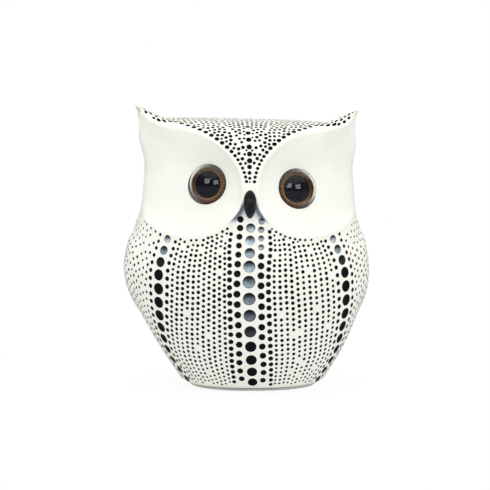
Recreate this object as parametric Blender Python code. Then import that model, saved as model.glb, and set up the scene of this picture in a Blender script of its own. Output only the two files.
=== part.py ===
"""Owl figurine: a hollow cast body with doll's eyes, a beak, a base stopper and a felt pad.

Metres, +Z up. The owl faces -Y and its left-hand eye in front view is at -X. The origin is the
middle of the footprint, at the height of the surface that the felt pad stands on.
"""
from math import acos, atan2, cos, exp, hypot, pi, radians, sin

import bmesh
import bpy
from mathutils import Matrix, Vector

MM = 0.001

# driving dimensions
CROWN_Z = 103.2 * MM          # top of the head between the ear tufts
CROWN_START_Z = 80.0 * MM     # height above which the head closes over
SECTION_POWER = 2.25          # superellipse exponent of the horizontal sections
SIDE_CROWN_POWER = 6.5        # the head is nearly square on top in front view
FRONT_CROWN_POWER = 4.0
BACK_CROWN_POWER = 2.4        # and round at the back
EAR_TIP = Vector((43.0, -13.0, 109.4)) * MM
EAR_ROOT_ANGLE = radians(64.0)
EAR_ROOT_Z = 100.4 * MM
EAR_REACH = 14.0 * MM
EAR_STRETCH = (1.5, 1.25, 0.65)  # the tuft falls off fastest inwards, slowest down the side
FACE_TILT = 0.028             # the head's -X side stands a little higher
WALL = 4.6 * MM
GLUE_GAP = 0.3 * MM

# underside
FELT_THICKNESS = 1.0 * MM
FELT_INSET = 2.6 * MM
BASE_Z = FELT_THICKNESS + GLUE_GAP
POUR_HOLE_RADIUS = 12.0 * MM
STOPPER_LIP_RADIUS = 14.5 * MM
STOPPER_LIP_THICKNESS = 1.2 * MM
STOPPER_DEPTH = 6.5 * MM
LIP_SEAT_DEPTH = 1.5 * MM
FLOOR_THICKNESS = 4.5 * MM
FLOOR_Z = BASE_Z + FLOOR_THICKNESS
CAVITY_TOP_Z = CROWN_Z - 8.0 * MM

# eyes
EYE_RADIUS = 7.8 * MM
EYE_DOME_RISE = 4.8 * MM
EYE_DOME_EDGE = 0.3 * MM      # straight edge below the dome
EYE_DOME_WALL = 0.7 * MM
EYE_BACK_THICKNESS = 2.2 * MM
IRIS_THICKNESS = 0.5 * MM
IRIS_RADIUS = 7.1 * MM
PUPIL_RADIUS = 5.35 * MM
EYE_STEM_RADIUS = 2.0 * MM
EYE_STEM_LENGTH = 4.0 * MM
EYE_PLACES = {"left": (-19.3 * MM, 80.4 * MM), "right": (21.0 * MM, 79.5 * MM)}
EYE_TURN = {"left": radians(-26.0), "right": radians(20.0)}  # each eye was glued in by hand
EYE_PITCH_UP = radians(10.0)
EYE_SINK = 1.2 * MM           # back of the iris below the face

# beak
BEAK_TOP_Z = 79.0 * MM
BEAK_TIP_Z = 67.3 * MM
BEAK_HALF_WIDTH = 2.45 * MM
BEAK_X = 0.2 * MM
BEAK_HALF_DEPTH = 2.6 * MM
BEAK_BOW = 1.4 * MM
BEAK_SINK = 1.0 * MM

# Profiles of the body: (height, value) pairs in millimetres, joined by a smooth curve.
HALF_WIDTH = ((0, 26.0), (1.3, 27.2), (5, 29.7), (14, 35.4), (24, 40.6), (34, 44.8), (45, 46.6),
              (55, 45.2), (62, 43.7), (67, 42.0), (75, 41.0), (86, 40.6), (96, 42.5), (104, 43.6))
FRONT_DEPTH = ((0, 25.0), (1.3, 26.2), (5, 28.6), (14, 32.2), (26, 35.2), (40, 36.5), (52, 35.6),
               (62, 33.6), (70, 32.4), (80, 30.6), (90, 27.5), (104, 23.5))
BACK_DEPTH = ((0, 27.0), (1.3, 28.2), (5, 30.8), (14, 33.6), (26, 35.4), (38, 36.5), (52, 35.0),
              (64, 31.4), (74, 29.6), (84, 29.0), (104, 28.0))
SIDE_LEAN = ((0, 1.9), (14, 1.6), (30, 0.5), (46, -0.5), (60, -0.2), (75, 0.4), (90, 0.2),
             (104, -1.0))

# Outline of the facial disc on the +X side in front view: (x, z) pairs in millimetres.
DISC_OUTLINE = ((2.5, 79.5), (4.3, 87.2), (9.0, 93.6), (16.3, 98.5), (25.0, 100.8), (33.5, 101.9),
                (39.4, 104.4), (43.2, 109.3), (43.0, 101.0), (41.8, 91.0), (41.2, 80.0),
                (41.2, 69.0), (36.8, 63.9), (28.0, 61.2), (18.5, 61.3), (10.5, 64.4), (3.8, 71.2))
DISC_DEPTH = 7.2 * MM
DISC_SLOPE_WIDTH = 15.0 * MM
DISC_BLEND = (1.5 * MM, 6.0 * MM)  # where the dish stops following the outline closely
RIM_HEIGHT = 0.5 * MM
RIM_WIDTH = 1.6 * MM
RIM_SNAP = 1.5 * MM           # section corners this close to the rim are drawn towards it
DISC_TOE_OUT = 0.5            # sideways share of the direction that a disc faces

# shallow hollow of the face around the lower half of the beak
BEAK_HOLLOW = 1.3 * MM
BEAK_HOLLOW_Z = 69.0 * MM
BEAK_HOLLOW_SIZE = (5.5 * MM, 4.5 * MM)

# wings: low leaf shapes on the flanks, (angle from the front in degrees, height in mm)
WING_SHOULDER = (82.0, 62.0)
WING_TIP = (112.0, 14.0)
WING_HALF_WIDTH = 30.0
WING_RAISE = 1.3 * MM

# mesh resolution
FRONT_DENSITY = 0.3           # how much closer the segments are at the front than at the side
BODY_SEGMENTS = 76
CROWN_ROWS = 20               # rows over the crown
HEAD_ROWS = 9                 # from there down to the neck
BODY_ROWS = 14                # and from the neck to the base
NECK_Z = 57.0 * MM
CAVITY_SEGMENTS = 32
CAVITY_ROWS = 20
EYE_SEGMENTS = 40


def smooth_value(pairs, x):
    """Height of a smooth curve through (x, value) pairs, with Catmull-Rom tangents."""
    last = len(pairs) - 1
    if x <= pairs[0][0]:
        return pairs[0][1]
    if x >= pairs[last][0]:
        return pairs[last][1]
    i = max(k for k in range(last) if pairs[k][0] <= x)
    (x0, v0), (x1, v1) = pairs[i], pairs[i + 1]
    xa, va = pairs[max(i - 1, 0)]
    xb, vb = pairs[min(i + 2, last)]
    span = x1 - x0
    slope0 = (v1 - va) / (x1 - xa) * span
    slope1 = (vb - v0) / (xb - x0) * span
    t = (x - x0) / span
    return ((2 * t ** 3 - 3 * t ** 2 + 1) * v0 + (t ** 3 - 2 * t ** 2 + t) * slope0
            + (3 * t ** 2 - 2 * t ** 3) * v1 + (t ** 3 - t ** 2) * slope1)


def smoothstep(low, high, x):
    t = min(max((x - low) / (high - low), 0.0), 1.0)
    return t * t * (3 - 2 * t)


def closed_curve(points, steps):
    """Points of a closed Catmull-Rom curve through the given (x, z) pairs."""
    count = len(points)
    curve = []
    for i in range(count):
        p0, p1, p2, p3 = (points[(i + k) % count] for k in (-1, 0, 1, 2))
        for step in range(steps):
            t = step / steps
            curve.append(tuple(
                0.5 * (2 * b + (c - a) * t + (2 * a - 5 * b + 4 * c - d) * t * t
                       + (3 * b - a - 3 * c + d) * t ** 3)
                for a, b, c, d in zip(p0, p1, p2, p3)))
    return curve


def signed_distance(curve, x, z):
    """Distance from (x, z) to a closed curve, positive inside it, and the nearest point."""
    best = 1e9
    nearest = (x, z)
    inside = False
    for i, (ax, az) in enumerate(curve):
        bx, bz = curve[i - 1]
        dx, dz = bx - ax, bz - az
        t = ((x - ax) * dx + (z - az) * dz) / max(dx * dx + dz * dz, 1e-12)
        t = min(max(t, 0.0), 1.0)
        gap = hypot(x - ax - t * dx, z - az - t * dz)
        if gap < best:
            best = gap
            nearest = (ax + t * dx, az + t * dz)
        if (az > z) != (bz > z) and x < ax + (z - az) * dx / dz:
            inside = not inside
    return (best if inside else -best), nearest


DISC_CURVE = [(x * MM, z * MM) for x, z in closed_curve(DISC_OUTLINE, 6)]


def crown_factor(z, power):
    """How far a section above CROWN_START_Z has drawn in: 1 at the start, 0 at the crown."""
    t = (z - CROWN_START_Z) / (CROWN_Z - CROWN_START_Z)
    if t <= 0:
        return 1.0
    return max(1.0 - min(t, 1.0) ** power, 0.0) ** (1.0 / power)


def section_sizes(z):
    """Half width, front depth and back depth of the plain body at height z."""
    h = z / MM
    return (smooth_value(HALF_WIDTH, h) * crown_factor(z, SIDE_CROWN_POWER) * MM,
            smooth_value(FRONT_DEPTH, h) * crown_factor(z, FRONT_CROWN_POWER) * MM,
            smooth_value(BACK_DEPTH, h) * crown_factor(z, BACK_CROWN_POWER) * MM)


def section_point(angle, z):
    """Point of the plain body's section at height z, at an angle from the front."""
    half_width, front, back = section_sizes(z)
    power = 2.0 / SECTION_POWER
    side = sin(angle)
    ahead = cos(angle)
    x = half_width * abs(side) ** power * (1 if side > 0 else -1)
    depth = front if ahead > 0 else back
    y = depth * abs(ahead) ** power * (-1 if ahead > 0 else 1)
    return Vector((x, y, z))


def crown_point(angle, polar):
    """Point where a ray from the middle of the head leaves the plain crown."""
    edge = section_point(angle, CROWN_START_Z)
    ray = Vector((edge.x * sin(polar), edge.y * sin(polar),
                  (CROWN_Z - CROWN_START_Z) * cos(polar)))
    inner, outer = 0.0, 1.5
    for _ in range(34):
        scale = (inner + outer) / 2
        point = ray * scale
        half_width, front, back = section_sizes(CROWN_START_Z + point.z)
        depth = front if point.y < 0 else back
        inside = half_width > 1e-9 and depth > 1e-9 and (
            (abs(point.x) / half_width) ** SECTION_POWER
            + (abs(point.y) / depth) ** SECTION_POWER) < 1
        inner, outer = (scale, outer) if inside else (inner, scale)
    return ray * inner + Vector((0.0, 0.0, CROWN_START_Z))


def plain_point(angle, row):
    """Corner of the plain body without face, ears and wings: row 0 is the top of the crown."""
    if row < CROWN_ROWS:
        return crown_point(angle, pi / 2 * row / CROWN_ROWS)
    if row < CROWN_ROWS + HEAD_ROWS:
        z = CROWN_START_Z + (NECK_Z - CROWN_START_Z) * (row - CROWN_ROWS) / HEAD_ROWS
    else:
        z = NECK_Z + (BASE_Z - NECK_Z) * (row - CROWN_ROWS - HEAD_ROWS) / BODY_ROWS
    return section_point(angle, z)


def ear_pull(point):
    """Point moved by the sweep of the ear tuft on its side."""
    side = 1 if point.x > 0 else -1
    tip = Vector((side * EAR_TIP.x, EAR_TIP.y, EAR_TIP.z))
    root = section_point(side * EAR_ROOT_ANGLE, EAR_ROOT_Z)
    offset = (point - root) * Vector(EAR_STRETCH)
    reach = max(1 - offset.length / EAR_REACH, 0.0)
    return point + (tip - root) * reach ** 2


def even_distance(x, z):
    """Distance from the disc's outline without creases: it counts the outline all round."""
    total = 0.0
    for i, (a, b) in enumerate(DISC_CURVE):
        before = DISC_CURVE[i - 1]
        after = DISC_CURVE[(i + 1) % len(DISC_CURVE)]
        length = hypot(after[0] - before[0], after[1] - before[1]) / 2
        total += length / max((x - a) ** 2 + (z - b) ** 2, (0.1 * MM) ** 2) ** 3
    return (total * 8 / (3 * pi)) ** -0.2


def disc_relief(point):
    """Height of the face's relief at a point: the disc's rim above, its dish below the surface."""
    front = 1 - smoothstep(-4 * MM, 4 * MM, point.y)
    if front <= 0 or point.z < 55 * MM:
        return 0.0
    distance = signed_distance(DISC_CURVE, abs(point.x), point.z)[0]
    relief = RIM_HEIGHT * exp(-(distance / RIM_WIDTH) ** 2)
    if distance > 0:
        inner = smoothstep(*DISC_BLEND, distance)
        into = distance * (1 - inner)
        if inner > 0:
            into += even_distance(abs(point.x), point.z) * inner
        t = min(into / DISC_SLOPE_WIDTH, 1.0)
        brow = 0.62 + 0.38 * smoothstep(62 * MM, 92 * MM, point.z)
        relief -= DISC_DEPTH * brow * (1 - (1 - t) ** 2)
    return relief * front


def wing_height(angle, z):
    """Height of the wing's low relief above the flank."""
    degrees = abs(angle) * 180 / pi
    along = (WING_SHOULDER[1] - z / MM) / (WING_SHOULDER[1] - WING_TIP[1])
    if not 0.0 < along < 1.0:
        return 0.0
    middle = WING_SHOULDER[0] + (WING_TIP[0] - WING_SHOULDER[0]) * along
    half = WING_HALF_WIDTH * (1 - along ** 2.2) ** 0.8 * smoothstep(-0.05, 0.22, along)
    return WING_RAISE * smoothstep(0.0, 9.0, half - abs(degrees - middle))


def finish_point(point):
    """Plain point with the ear, the facial disc, the beak's hollow, the tilt and the lean."""
    height = point.z
    point = ear_pull(point)
    side = 1 if point.x > 0 else -1
    facing = Vector((side * DISC_TOE_OUT, -1.0, 0.1)).normalized()
    point += facing * disc_relief(point)
    if point.y < 0:
        wide, tall = BEAK_HOLLOW_SIZE
        hollow = exp(-(point.x / wide) ** 4 - ((point.z - BEAK_HOLLOW_Z) / tall) ** 2)
        point.y += BEAK_HOLLOW * hollow
    point.z -= FACE_TILT * point.x * smoothstep(58 * MM, 78 * MM, point.z)
    point.x += smooth_value(SIDE_LEAN, height / MM) * MM
    return point


def owl_point(angle, row):
    """Corner of the finished outer surface, at an angle from the front and a row from the top."""
    point = snap_to_rim(plain_point(angle, row))
    outward = Vector((point.x, point.y, 0.0))
    if outward.length > 0:
        outward.normalize()
    return finish_point(point + outward * wing_height(angle, point.z))


def plain_front(x, z):
    """Point of the plain front surface straight behind (x, z) in front view."""
    half_width, front, _ = section_sizes(z)
    inside = max(1 - (abs(x) / half_width) ** SECTION_POWER, 0.0)
    return Vector((x, -front * inside ** (1 / SECTION_POWER), z))


def face_point(x, z):
    """Point of the finished face straight behind (x, z) in front view."""
    return finish_point(plain_front(x, z))


def snap_to_rim(point):
    """Plain front point moved onto the disc's rim where it lies close to it."""
    pulled = ear_pull(point)
    if point.y > -6 * MM or point.z > CROWN_Z - MM:
        return point
    distance, (x, z) = signed_distance(DISC_CURVE, abs(pulled.x), pulled.z)
    if abs(distance) > RIM_SNAP:
        return point
    side = 1 if point.x > 0 else -1
    share = 1 - (distance / RIM_SNAP) ** 2
    new_x = abs(point.x) + (x - abs(pulled.x)) * share
    new_z = point.z + (z - pulled.z) * share
    if new_z > CROWN_Z - 0.5 * MM or new_x > 0.93 * section_sizes(new_z)[0]:
        return point
    return plain_front(side * new_x, new_z)


def warped_sphere(name, segments, rows, point_at, bottom):
    """Closed surface: a UV sphere whose rings are laid on the rows of point_at."""
    mesh = bpy.data.meshes.new(name)
    bm = bmesh.new()
    bmesh.ops.create_uvsphere(bm, u_segments=segments, v_segments=rows + 1, radius=1.0)
    for vert in bm.verts:
        row = round(acos(max(min(vert.co.z, 1.0), -1.0)) / pi * (rows + 1))
        turn = atan2(vert.co.x, -vert.co.y)
        angle = turn - FRONT_DENSITY * sin(turn)
        vert.co = bottom if row > rows else point_at(angle, row)
    bmesh.ops.recalc_face_normals(bm, faces=bm.faces)
    bm.to_mesh(mesh)
    bm.free()
    return mesh


def cavity_point(angle, row):
    """Corner of the hollow's wall, clear of the eye sockets and the beak's seat."""
    middle = (FLOOR_Z + CAVITY_TOP_Z) / 2
    reach = (CAVITY_TOP_Z - FLOOR_Z) / 2
    level = cos(pi * row / (CAVITY_ROWS + 1))
    z = middle + reach * level
    h = z / MM
    taper = max(1 - abs(level) ** 5, 0.0) ** 0.4
    head = smoothstep(52 * MM, 68 * MM, z)
    half_width = (smooth_value(HALF_WIDTH, h) - WALL / MM - 3.5 * head) * taper
    front = (smooth_value(FRONT_DEPTH, h) - WALL / MM - 14.5 * head) * taper
    back = (smooth_value(BACK_DEPTH, h) - WALL / MM) * taper
    depth = front if cos(angle) > 0 else back
    return Vector((half_width * sin(angle) * MM, -depth * cos(angle) * MM, z))


def revolved(name, profile, segments):
    """Solid of revolution about Z of a profile of (radius, z) pairs that starts and ends on Z."""
    mesh = bpy.data.meshes.new(name)
    bm = bmesh.new()
    verts = [bm.verts.new((radius, 0.0, z)) for radius, z in profile]
    edges = [bm.edges.new(pair) for pair in zip(verts, verts[1:])]
    if profile[0][0] > 0:
        edges.append(bm.edges.new((verts[-1], verts[0])))
    bmesh.ops.spin(bm, geom=verts + edges, cent=(0, 0, 0), axis=(0, 0, 1), dvec=(0, 0, 0),
                   angle=2 * pi, steps=segments, use_merge=True)
    bmesh.ops.remove_doubles(bm, verts=bm.verts, dist=1e-6)
    bmesh.ops.recalc_face_normals(bm, faces=bm.faces)
    bm.to_mesh(mesh)
    bm.free()
    return mesh


def material(name, colour, roughness, metallic=0.0, transmission=0.0):
    made = bpy.data.materials.new(name)
    made.use_nodes = True
    shader = made.node_tree.nodes["Principled BSDF"]
    shader.inputs["Base Color"].default_value = (*colour, 1.0)
    shader.inputs["Roughness"].default_value = roughness
    shader.inputs["Metallic"].default_value = metallic
    shader.inputs["Transmission Weight"].default_value = transmission
    made.diffuse_color = (*colour, 1.0)
    return made


def add_object(name, mesh, look, matrix=None, smooth=40.0):
    piece = bpy.data.objects.new(name, mesh)
    bpy.context.scene.collection.objects.link(piece)
    if matrix is not None:
        piece.matrix_world = matrix
    mesh.shade_smooth()
    mesh.set_sharp_from_angle(angle=radians(smooth))
    if look is not None:
        mesh.materials.clear()
        mesh.materials.append(look)
    return piece


def add_cutter(name, mesh, target, matrix=None):
    """Hidden solid that is cut out of the target."""
    cutter = add_object(name, mesh, None, matrix)
    cutter.hide_render = True
    cutter.display_type = "WIRE"
    cut = target.modifiers.new(name, "BOOLEAN")
    cut.operation = "DIFFERENCE"
    cut.solver = "EXACT"
    cut.object = cutter
    return cutter


def eye_matrix(prefix):
    """Frame of an eye: local +Z looks out of the socket, local z=0 is the back of the iris."""
    turn = EYE_TURN[prefix]
    axis = Vector((sin(turn) * cos(EYE_PITCH_UP), -cos(turn) * cos(EYE_PITCH_UP),
                   sin(EYE_PITCH_UP)))
    seat = face_point(*EYE_PLACES[prefix])
    facing = axis.to_track_quat("Z", "Y").to_matrix().to_4x4()
    return Matrix.Translation(seat - axis * EYE_SINK) @ facing


def dome_arc(radius, base, rise, steps=10):
    """Pairs of radius and height along a round dome, from its edge to its top."""
    ball = (radius ** 2 + rise ** 2) / (2 * rise)
    end = acos((ball - rise) / ball)
    arc = [(ball * sin(end * (1 - i / steps)), base + rise - ball
            + ball * cos(end * (1 - i / steps))) for i in range(steps)]
    return arc + [(0.0, base + rise)]


def lens_profile():
    """Lens section: a thin dome, open towards the iris, with a short straight edge."""
    base = IRIS_THICKNESS + GLUE_GAP
    outside = dome_arc(EYE_RADIUS, base + EYE_DOME_EDGE, EYE_DOME_RISE)
    inside = dome_arc(EYE_RADIUS - EYE_DOME_WALL, base,
                      EYE_DOME_RISE + EYE_DOME_EDGE - EYE_DOME_WALL)
    return inside[::-1] + [(EYE_RADIUS, base)] + outside


def build_eye(prefix, looks, body):
    """Lens, iris, pupil and backing of one eye, and its socket in the body."""
    frame = eye_matrix(prefix)
    back = -GLUE_GAP - EYE_BACK_THICKNESS
    stem_end = back - EYE_STEM_LENGTH
    add_object(prefix + "_eye_lens", revolved("lens", lens_profile(), EYE_SEGMENTS),
               looks["lens"], frame)
    inner = PUPIL_RADIUS + GLUE_GAP
    ring = [(inner, 0.0), (IRIS_RADIUS, 0.0), (IRIS_RADIUS, IRIS_THICKNESS),
            (inner, IRIS_THICKNESS)]
    add_object(prefix + "_eye_iris", revolved("iris", ring, EYE_SEGMENTS), looks["iris"], frame)
    disc = [(0.0, 0.0), (PUPIL_RADIUS, 0.0), (PUPIL_RADIUS, IRIS_THICKNESS),
            (0.0, IRIS_THICKNESS)]
    add_object(prefix + "_eye_pupil", revolved("pupil", disc, EYE_SEGMENTS), looks["pupil"],
               frame)
    cup = [(0.0, stem_end), (EYE_STEM_RADIUS, stem_end), (EYE_STEM_RADIUS, back),
           (IRIS_RADIUS, back), (IRIS_RADIUS, -GLUE_GAP), (0.0, -GLUE_GAP)]
    add_object(prefix + "_eye_back", revolved("eye_back", cup, EYE_SEGMENTS), looks["backing"],
               frame)
    floor = back - GLUE_GAP
    mouth = EYE_DOME_RISE + 7 * MM
    bore = stem_end - GLUE_GAP
    wide = EYE_RADIUS + GLUE_GAP
    narrow = EYE_STEM_RADIUS + GLUE_GAP
    socket = [(0.0, bore), (narrow, bore), (narrow, floor), (wide, floor), (wide, mouth),
              (0.0, mouth)]
    add_cutter(prefix + "_socket_cutter", revolved("socket", socket, EYE_SEGMENTS), body, frame)


def beak_mesh(name, clearance):
    """Spindle-shaped beak: blunt on top, widest above its middle, pointed below, bowed forward."""
    mesh = bpy.data.meshes.new(name)
    bm = bmesh.new()
    bmesh.ops.create_uvsphere(bm, u_segments=20, v_segments=16, radius=1.0)
    middle_z = (BEAK_TOP_Z + BEAK_TIP_Z) / 2
    half_height = (BEAK_TOP_Z - BEAK_TIP_Z) / 2
    root = face_point(BEAK_X, middle_z).y
    for vert in bm.verts:
        sx, sy, sz = vert.co
        girth = 1.16 * max(0.0, (1 + sz) / 2) ** 0.25
        bow = BEAK_BOW * (1 - sz * sz)
        y = root + BEAK_SINK - bow + sy * (BEAK_HALF_DEPTH * girth + clearance)
        vert.co = Vector((BEAK_X + sx * (BEAK_HALF_WIDTH * girth + clearance), y,
                          middle_z + sz * (half_height + clearance)))
    bmesh.ops.recalc_face_normals(bm, faces=bm.faces)
    bm.to_mesh(mesh)
    bm.free()
    return mesh


def base_outline(inset, segments):
    """Corners of the base's outline, drawn in by an inset."""
    corners = []
    for i in range(segments):
        point = finish_point(section_point(2 * pi * i / segments, BASE_Z))
        flat = Vector((point.x, point.y, 0.0))
        corners.append(flat * (1 - inset / flat.length))
    return corners


def build_felt(look):
    mesh = bpy.data.meshes.new("felt")
    bm = bmesh.new()
    corners = base_outline(FELT_INSET, 48)
    face = bm.faces.new([bm.verts.new(corner) for corner in corners])
    top = bmesh.ops.extrude_face_region(bm, geom=[face])
    raised = [item for item in top["geom"] if isinstance(item, bmesh.types.BMVert)]
    bmesh.ops.translate(bm, verts=raised, vec=(0.0, 0.0, FELT_THICKNESS))
    bmesh.ops.recalc_face_normals(bm, faces=bm.faces)
    bm.to_mesh(mesh)
    bm.free()
    return add_object("base_felt", mesh, look)


def build_stopper(look, body):
    """Moulded stopper: a lip let into the base and a hollow skirt through the floor."""
    low = BASE_Z
    lip = low + STOPPER_LIP_THICKNESS
    end = low + STOPPER_DEPTH
    outer = POUR_HOLE_RADIUS - GLUE_GAP
    profile = [(0.0, low), (STOPPER_LIP_RADIUS, low), (STOPPER_LIP_RADIUS, lip), (outer, lip),
               (outer - 0.4 * MM, end), (outer - 2.0 * MM, end), (outer - 1.6 * MM, lip),
               (0.0, lip)]
    place = Matrix.Translation((SIDE_LEAN[0][1] * MM, 0.0, 0.0))
    add_object("base_stopper", revolved("stopper", profile, 48), look, place)
    seat = low + LIP_SEAT_DEPTH
    wide = STOPPER_LIP_RADIUS + GLUE_GAP
    hole = [(0.0, low - 5 * MM), (wide, low - 5 * MM), (wide, seat), (POUR_HOLE_RADIUS, seat),
            (POUR_HOLE_RADIUS, FLOOR_Z + 6 * MM), (0.0, FLOOR_Z + 6 * MM)]
    add_cutter("pour_hole_cutter", revolved("pour_hole", hole, 48), body, place)


def sharpen_ear_tips(mesh):
    """Moves the corner nearest to each ear's tip onto it."""
    for side in (-1, 1):
        root = section_point(side * EAR_ROOT_ANGLE, EAR_ROOT_Z)
        tip = finish_point(root)
        nearest = min(mesh.vertices, key=lambda vert: (vert.co - tip).length)
        nearest.co = tip


def build_body(look):
    bottom = Vector((SIDE_LEAN[0][1] * MM, 0.0, BASE_Z))
    rows = CROWN_ROWS + HEAD_ROWS + BODY_ROWS
    mesh = warped_sphere("body_casting", BODY_SEGMENTS, rows, owl_point, bottom)
    sharpen_ear_tips(mesh)
    body = add_object("body_casting", mesh, look, smooth=35.0)
    hollow = warped_sphere("cavity", CAVITY_SEGMENTS, CAVITY_ROWS, cavity_point,
                           Vector((0.0, 0.0, FLOOR_Z)))
    add_cutter("cavity_cutter", hollow, body)
    return body


def centre_on_footprint():
    """Puts the middle of the body's box on the Z axis."""
    corners = [vert.co for vert in bpy.data.objects["body_casting"].data.vertices]
    middle = Vector((min(c.x for c in corners) + max(c.x for c in corners),
                     min(c.y for c in corners) + max(c.y for c in corners), 0.0)) / 2
    for piece in bpy.context.scene.objects:
        piece.location -= middle


def main():
    for old in list(bpy.data.objects):
        bpy.data.objects.remove(old, do_unlink=True)
    body = build_body(material("cream_white_lacquer", (0.90, 0.89, 0.85), 0.3))
    looks = {
        "lens": material("clear_acrylic", (0.95, 0.96, 0.96), 0.05, transmission=1.0),
        "iris": material("copper_paint", (0.36, 0.17, 0.07), 0.35, metallic=0.6),
        "pupil": material("pupil_black", (0.012, 0.013, 0.02), 0.08),
        "backing": material("eye_backing_black", (0.03, 0.025, 0.02), 0.5),
    }
    for prefix in EYE_PLACES:
        build_eye(prefix, looks, body)
    black = material("beak_black_lacquer", (0.012, 0.012, 0.014), 0.15)
    add_object("beak", beak_mesh("beak", 0.0), black)
    add_cutter("beak_seat_cutter", beak_mesh("beak_seat", GLUE_GAP), body)
    build_stopper(material("stopper_plastic", (0.75, 0.75, 0.73), 0.6), body)
    build_felt(material("felt_grey", (0.60, 0.59, 0.56), 0.95))
    centre_on_footprint()


main()
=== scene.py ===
"""Looks of the owl figurine: a glossy dotted casting with glass-like eyes, a black beak and felt.

The body's outer surface repeats the casting's shape functions at a fine resolution. A flat map of
the surface, with the crown in its middle and the base around its edge, holds the circles of the
painted dots, and a triangulation of that map makes a mesh whose edges follow every circle. The
shape functions work in millimetres and the meshes are in metres.
"""
from math import acos, cos, pi, radians, sin

import bmesh
import bpy
import numpy as np
from mathutils import Matrix, Vector
from mathutils.geometry import delaunay_2d_cdt
from mathutils.kdtree import KDTree


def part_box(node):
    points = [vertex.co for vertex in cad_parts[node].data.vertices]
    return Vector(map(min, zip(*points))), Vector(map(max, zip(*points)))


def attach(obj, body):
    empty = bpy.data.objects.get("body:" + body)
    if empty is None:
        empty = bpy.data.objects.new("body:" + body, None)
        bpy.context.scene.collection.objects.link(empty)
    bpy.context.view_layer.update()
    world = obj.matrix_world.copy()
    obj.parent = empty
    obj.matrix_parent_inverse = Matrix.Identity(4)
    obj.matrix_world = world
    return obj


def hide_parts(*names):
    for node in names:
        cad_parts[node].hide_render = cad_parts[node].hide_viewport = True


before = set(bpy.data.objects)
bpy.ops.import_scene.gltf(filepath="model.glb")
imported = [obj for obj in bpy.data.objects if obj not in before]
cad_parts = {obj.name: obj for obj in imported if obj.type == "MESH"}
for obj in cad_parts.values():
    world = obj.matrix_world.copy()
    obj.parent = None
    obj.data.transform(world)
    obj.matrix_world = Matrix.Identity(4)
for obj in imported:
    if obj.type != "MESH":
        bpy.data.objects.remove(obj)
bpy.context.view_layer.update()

MM = 0.001
BLACK = (0.0, 0.0, 0.0)
WHITE = (1.0, 1.0, 1.0)

# body, in millimetres: the casting's own dimensions
CROWN_Z = 103.2
CROWN_START_Z = 80.0
SECTION_POWER = 2.25
SIDE_CROWN_POWER = 6.5
FRONT_CROWN_POWER = 4.0
BACK_CROWN_POWER = 2.4
EAR_TIP = (43.0, -13.0, 109.4)
EAR_ROOT_ANGLE = radians(64.0)
EAR_ROOT_Z = 100.4
EAR_REACH = 14.0
EAR_STRETCH = (1.5, 1.25, 0.65)
FACE_TILT = 0.028
BASE_Z = 1.3
BASE_ROUNDING = 1.8
WIDTH_TRIM = 0.9984           # keeps the smooth surface inside the casting's flat facets
HALF_WIDTH = ((0, 26.0), (1.3, 27.2), (5, 29.7), (14, 35.4), (24, 40.6), (34, 44.8), (45, 46.6),
              (55, 45.2), (62, 43.7), (67, 42.0), (75, 41.0), (86, 40.6), (96, 42.5), (104, 43.6))
FRONT_DEPTH = ((0, 25.0), (1.3, 26.2), (5, 28.6), (14, 32.2), (26, 35.2), (40, 36.5), (52, 35.6),
               (62, 33.6), (70, 32.4), (80, 30.6), (90, 27.5), (104, 23.5))
BACK_DEPTH = ((0, 27.0), (1.3, 28.2), (5, 30.8), (14, 33.6), (26, 35.4), (38, 36.5), (52, 35.0),
              (64, 31.4), (74, 29.6), (84, 29.0), (104, 28.0))
SIDE_LEAN = ((0, 1.9), (14, 1.6), (30, 0.5), (46, -0.5), (60, -0.2), (75, 0.4), (90, 0.2),
             (104, -1.0))
DISC_OUTLINE = ((2.5, 79.5), (4.3, 87.2), (9.0, 93.6), (16.3, 98.5), (25.0, 100.8), (33.5, 101.9),
                (39.4, 104.4), (43.2, 109.3), (43.0, 101.0), (41.8, 91.0), (41.2, 80.0),
                (41.2, 69.0), (36.8, 63.9), (28.0, 61.2), (18.5, 61.3), (10.5, 64.4), (3.8, 71.2))
DISC_DEPTH = 7.2
DISC_SLOPE_WIDTH = 15.0
DISC_BLEND = (1.5, 6.0)
FACE_LOW_Z = 55.0
RIM_HEIGHT = 0.5
RIM_WIDTH = 1.6
RIM_ROUNDING = 0.5
DISC_TOE_OUT = 0.5
BEAK_HOLLOW = 1.3
BEAK_HOLLOW_Z = 69.0
BEAK_HOLLOW_SIZE = (5.5, 4.5)
WING_SHOULDER = (82.0, 62.0)
WING_TIP = (112.0, 14.0)
WING_HALF_WIDTH = 30.0
WING_RAISE = 1.3

# eyes and beak, in millimetres
EYE_RADIUS = 7.8
EYE_DOME_RISE = 4.8
EYE_DOME_WALL = 0.7
EYE_DOME_EDGE = 0.3
EYE_LENS_BACK = 0.8
EYE_SOCKET_GAP = 0.12
IRIS_RADIUS = 7.1
IRIS_THICKNESS = 0.5
PUPIL_RADIUS = 5.35
EYE_PLACES = {"left": (-19.3, 80.4), "right": (21.0, 79.5)}
EYE_TURN = {"left": radians(-26.0), "right": radians(20.0)}
EYE_PITCH_UP = radians(10.0)
EYE_SINK = 1.2
BEAK_TOP_Z = 79.0
BEAK_TIP_Z = 67.3
BEAK_HALF_WIDTH = 2.45
BEAK_X = 0.2
BEAK_HALF_DEPTH = 2.6
BEAK_BOW = 1.4
BEAK_SINK = 1.0
BEAK_GIRTH = 1.16             # against the half width and depth, for a beak that tapers
BEAK_TAPER = 0.25
BEAK_FACETS = 7
BEAK_FACET_DEPTH = 0.025
BEAK_FACET_TURN = 1.3
DOME_BEVEL = 0.12
IRIS_GAP = 0.02               # between the pupil's edge and the iris ring's hole
IRIS_OVERLAP = 0.25           # of the iris ring past its own radius, under the dome's rim
IRIS_RAISE = 0.1
IRIS_DISH = 0.16
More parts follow.
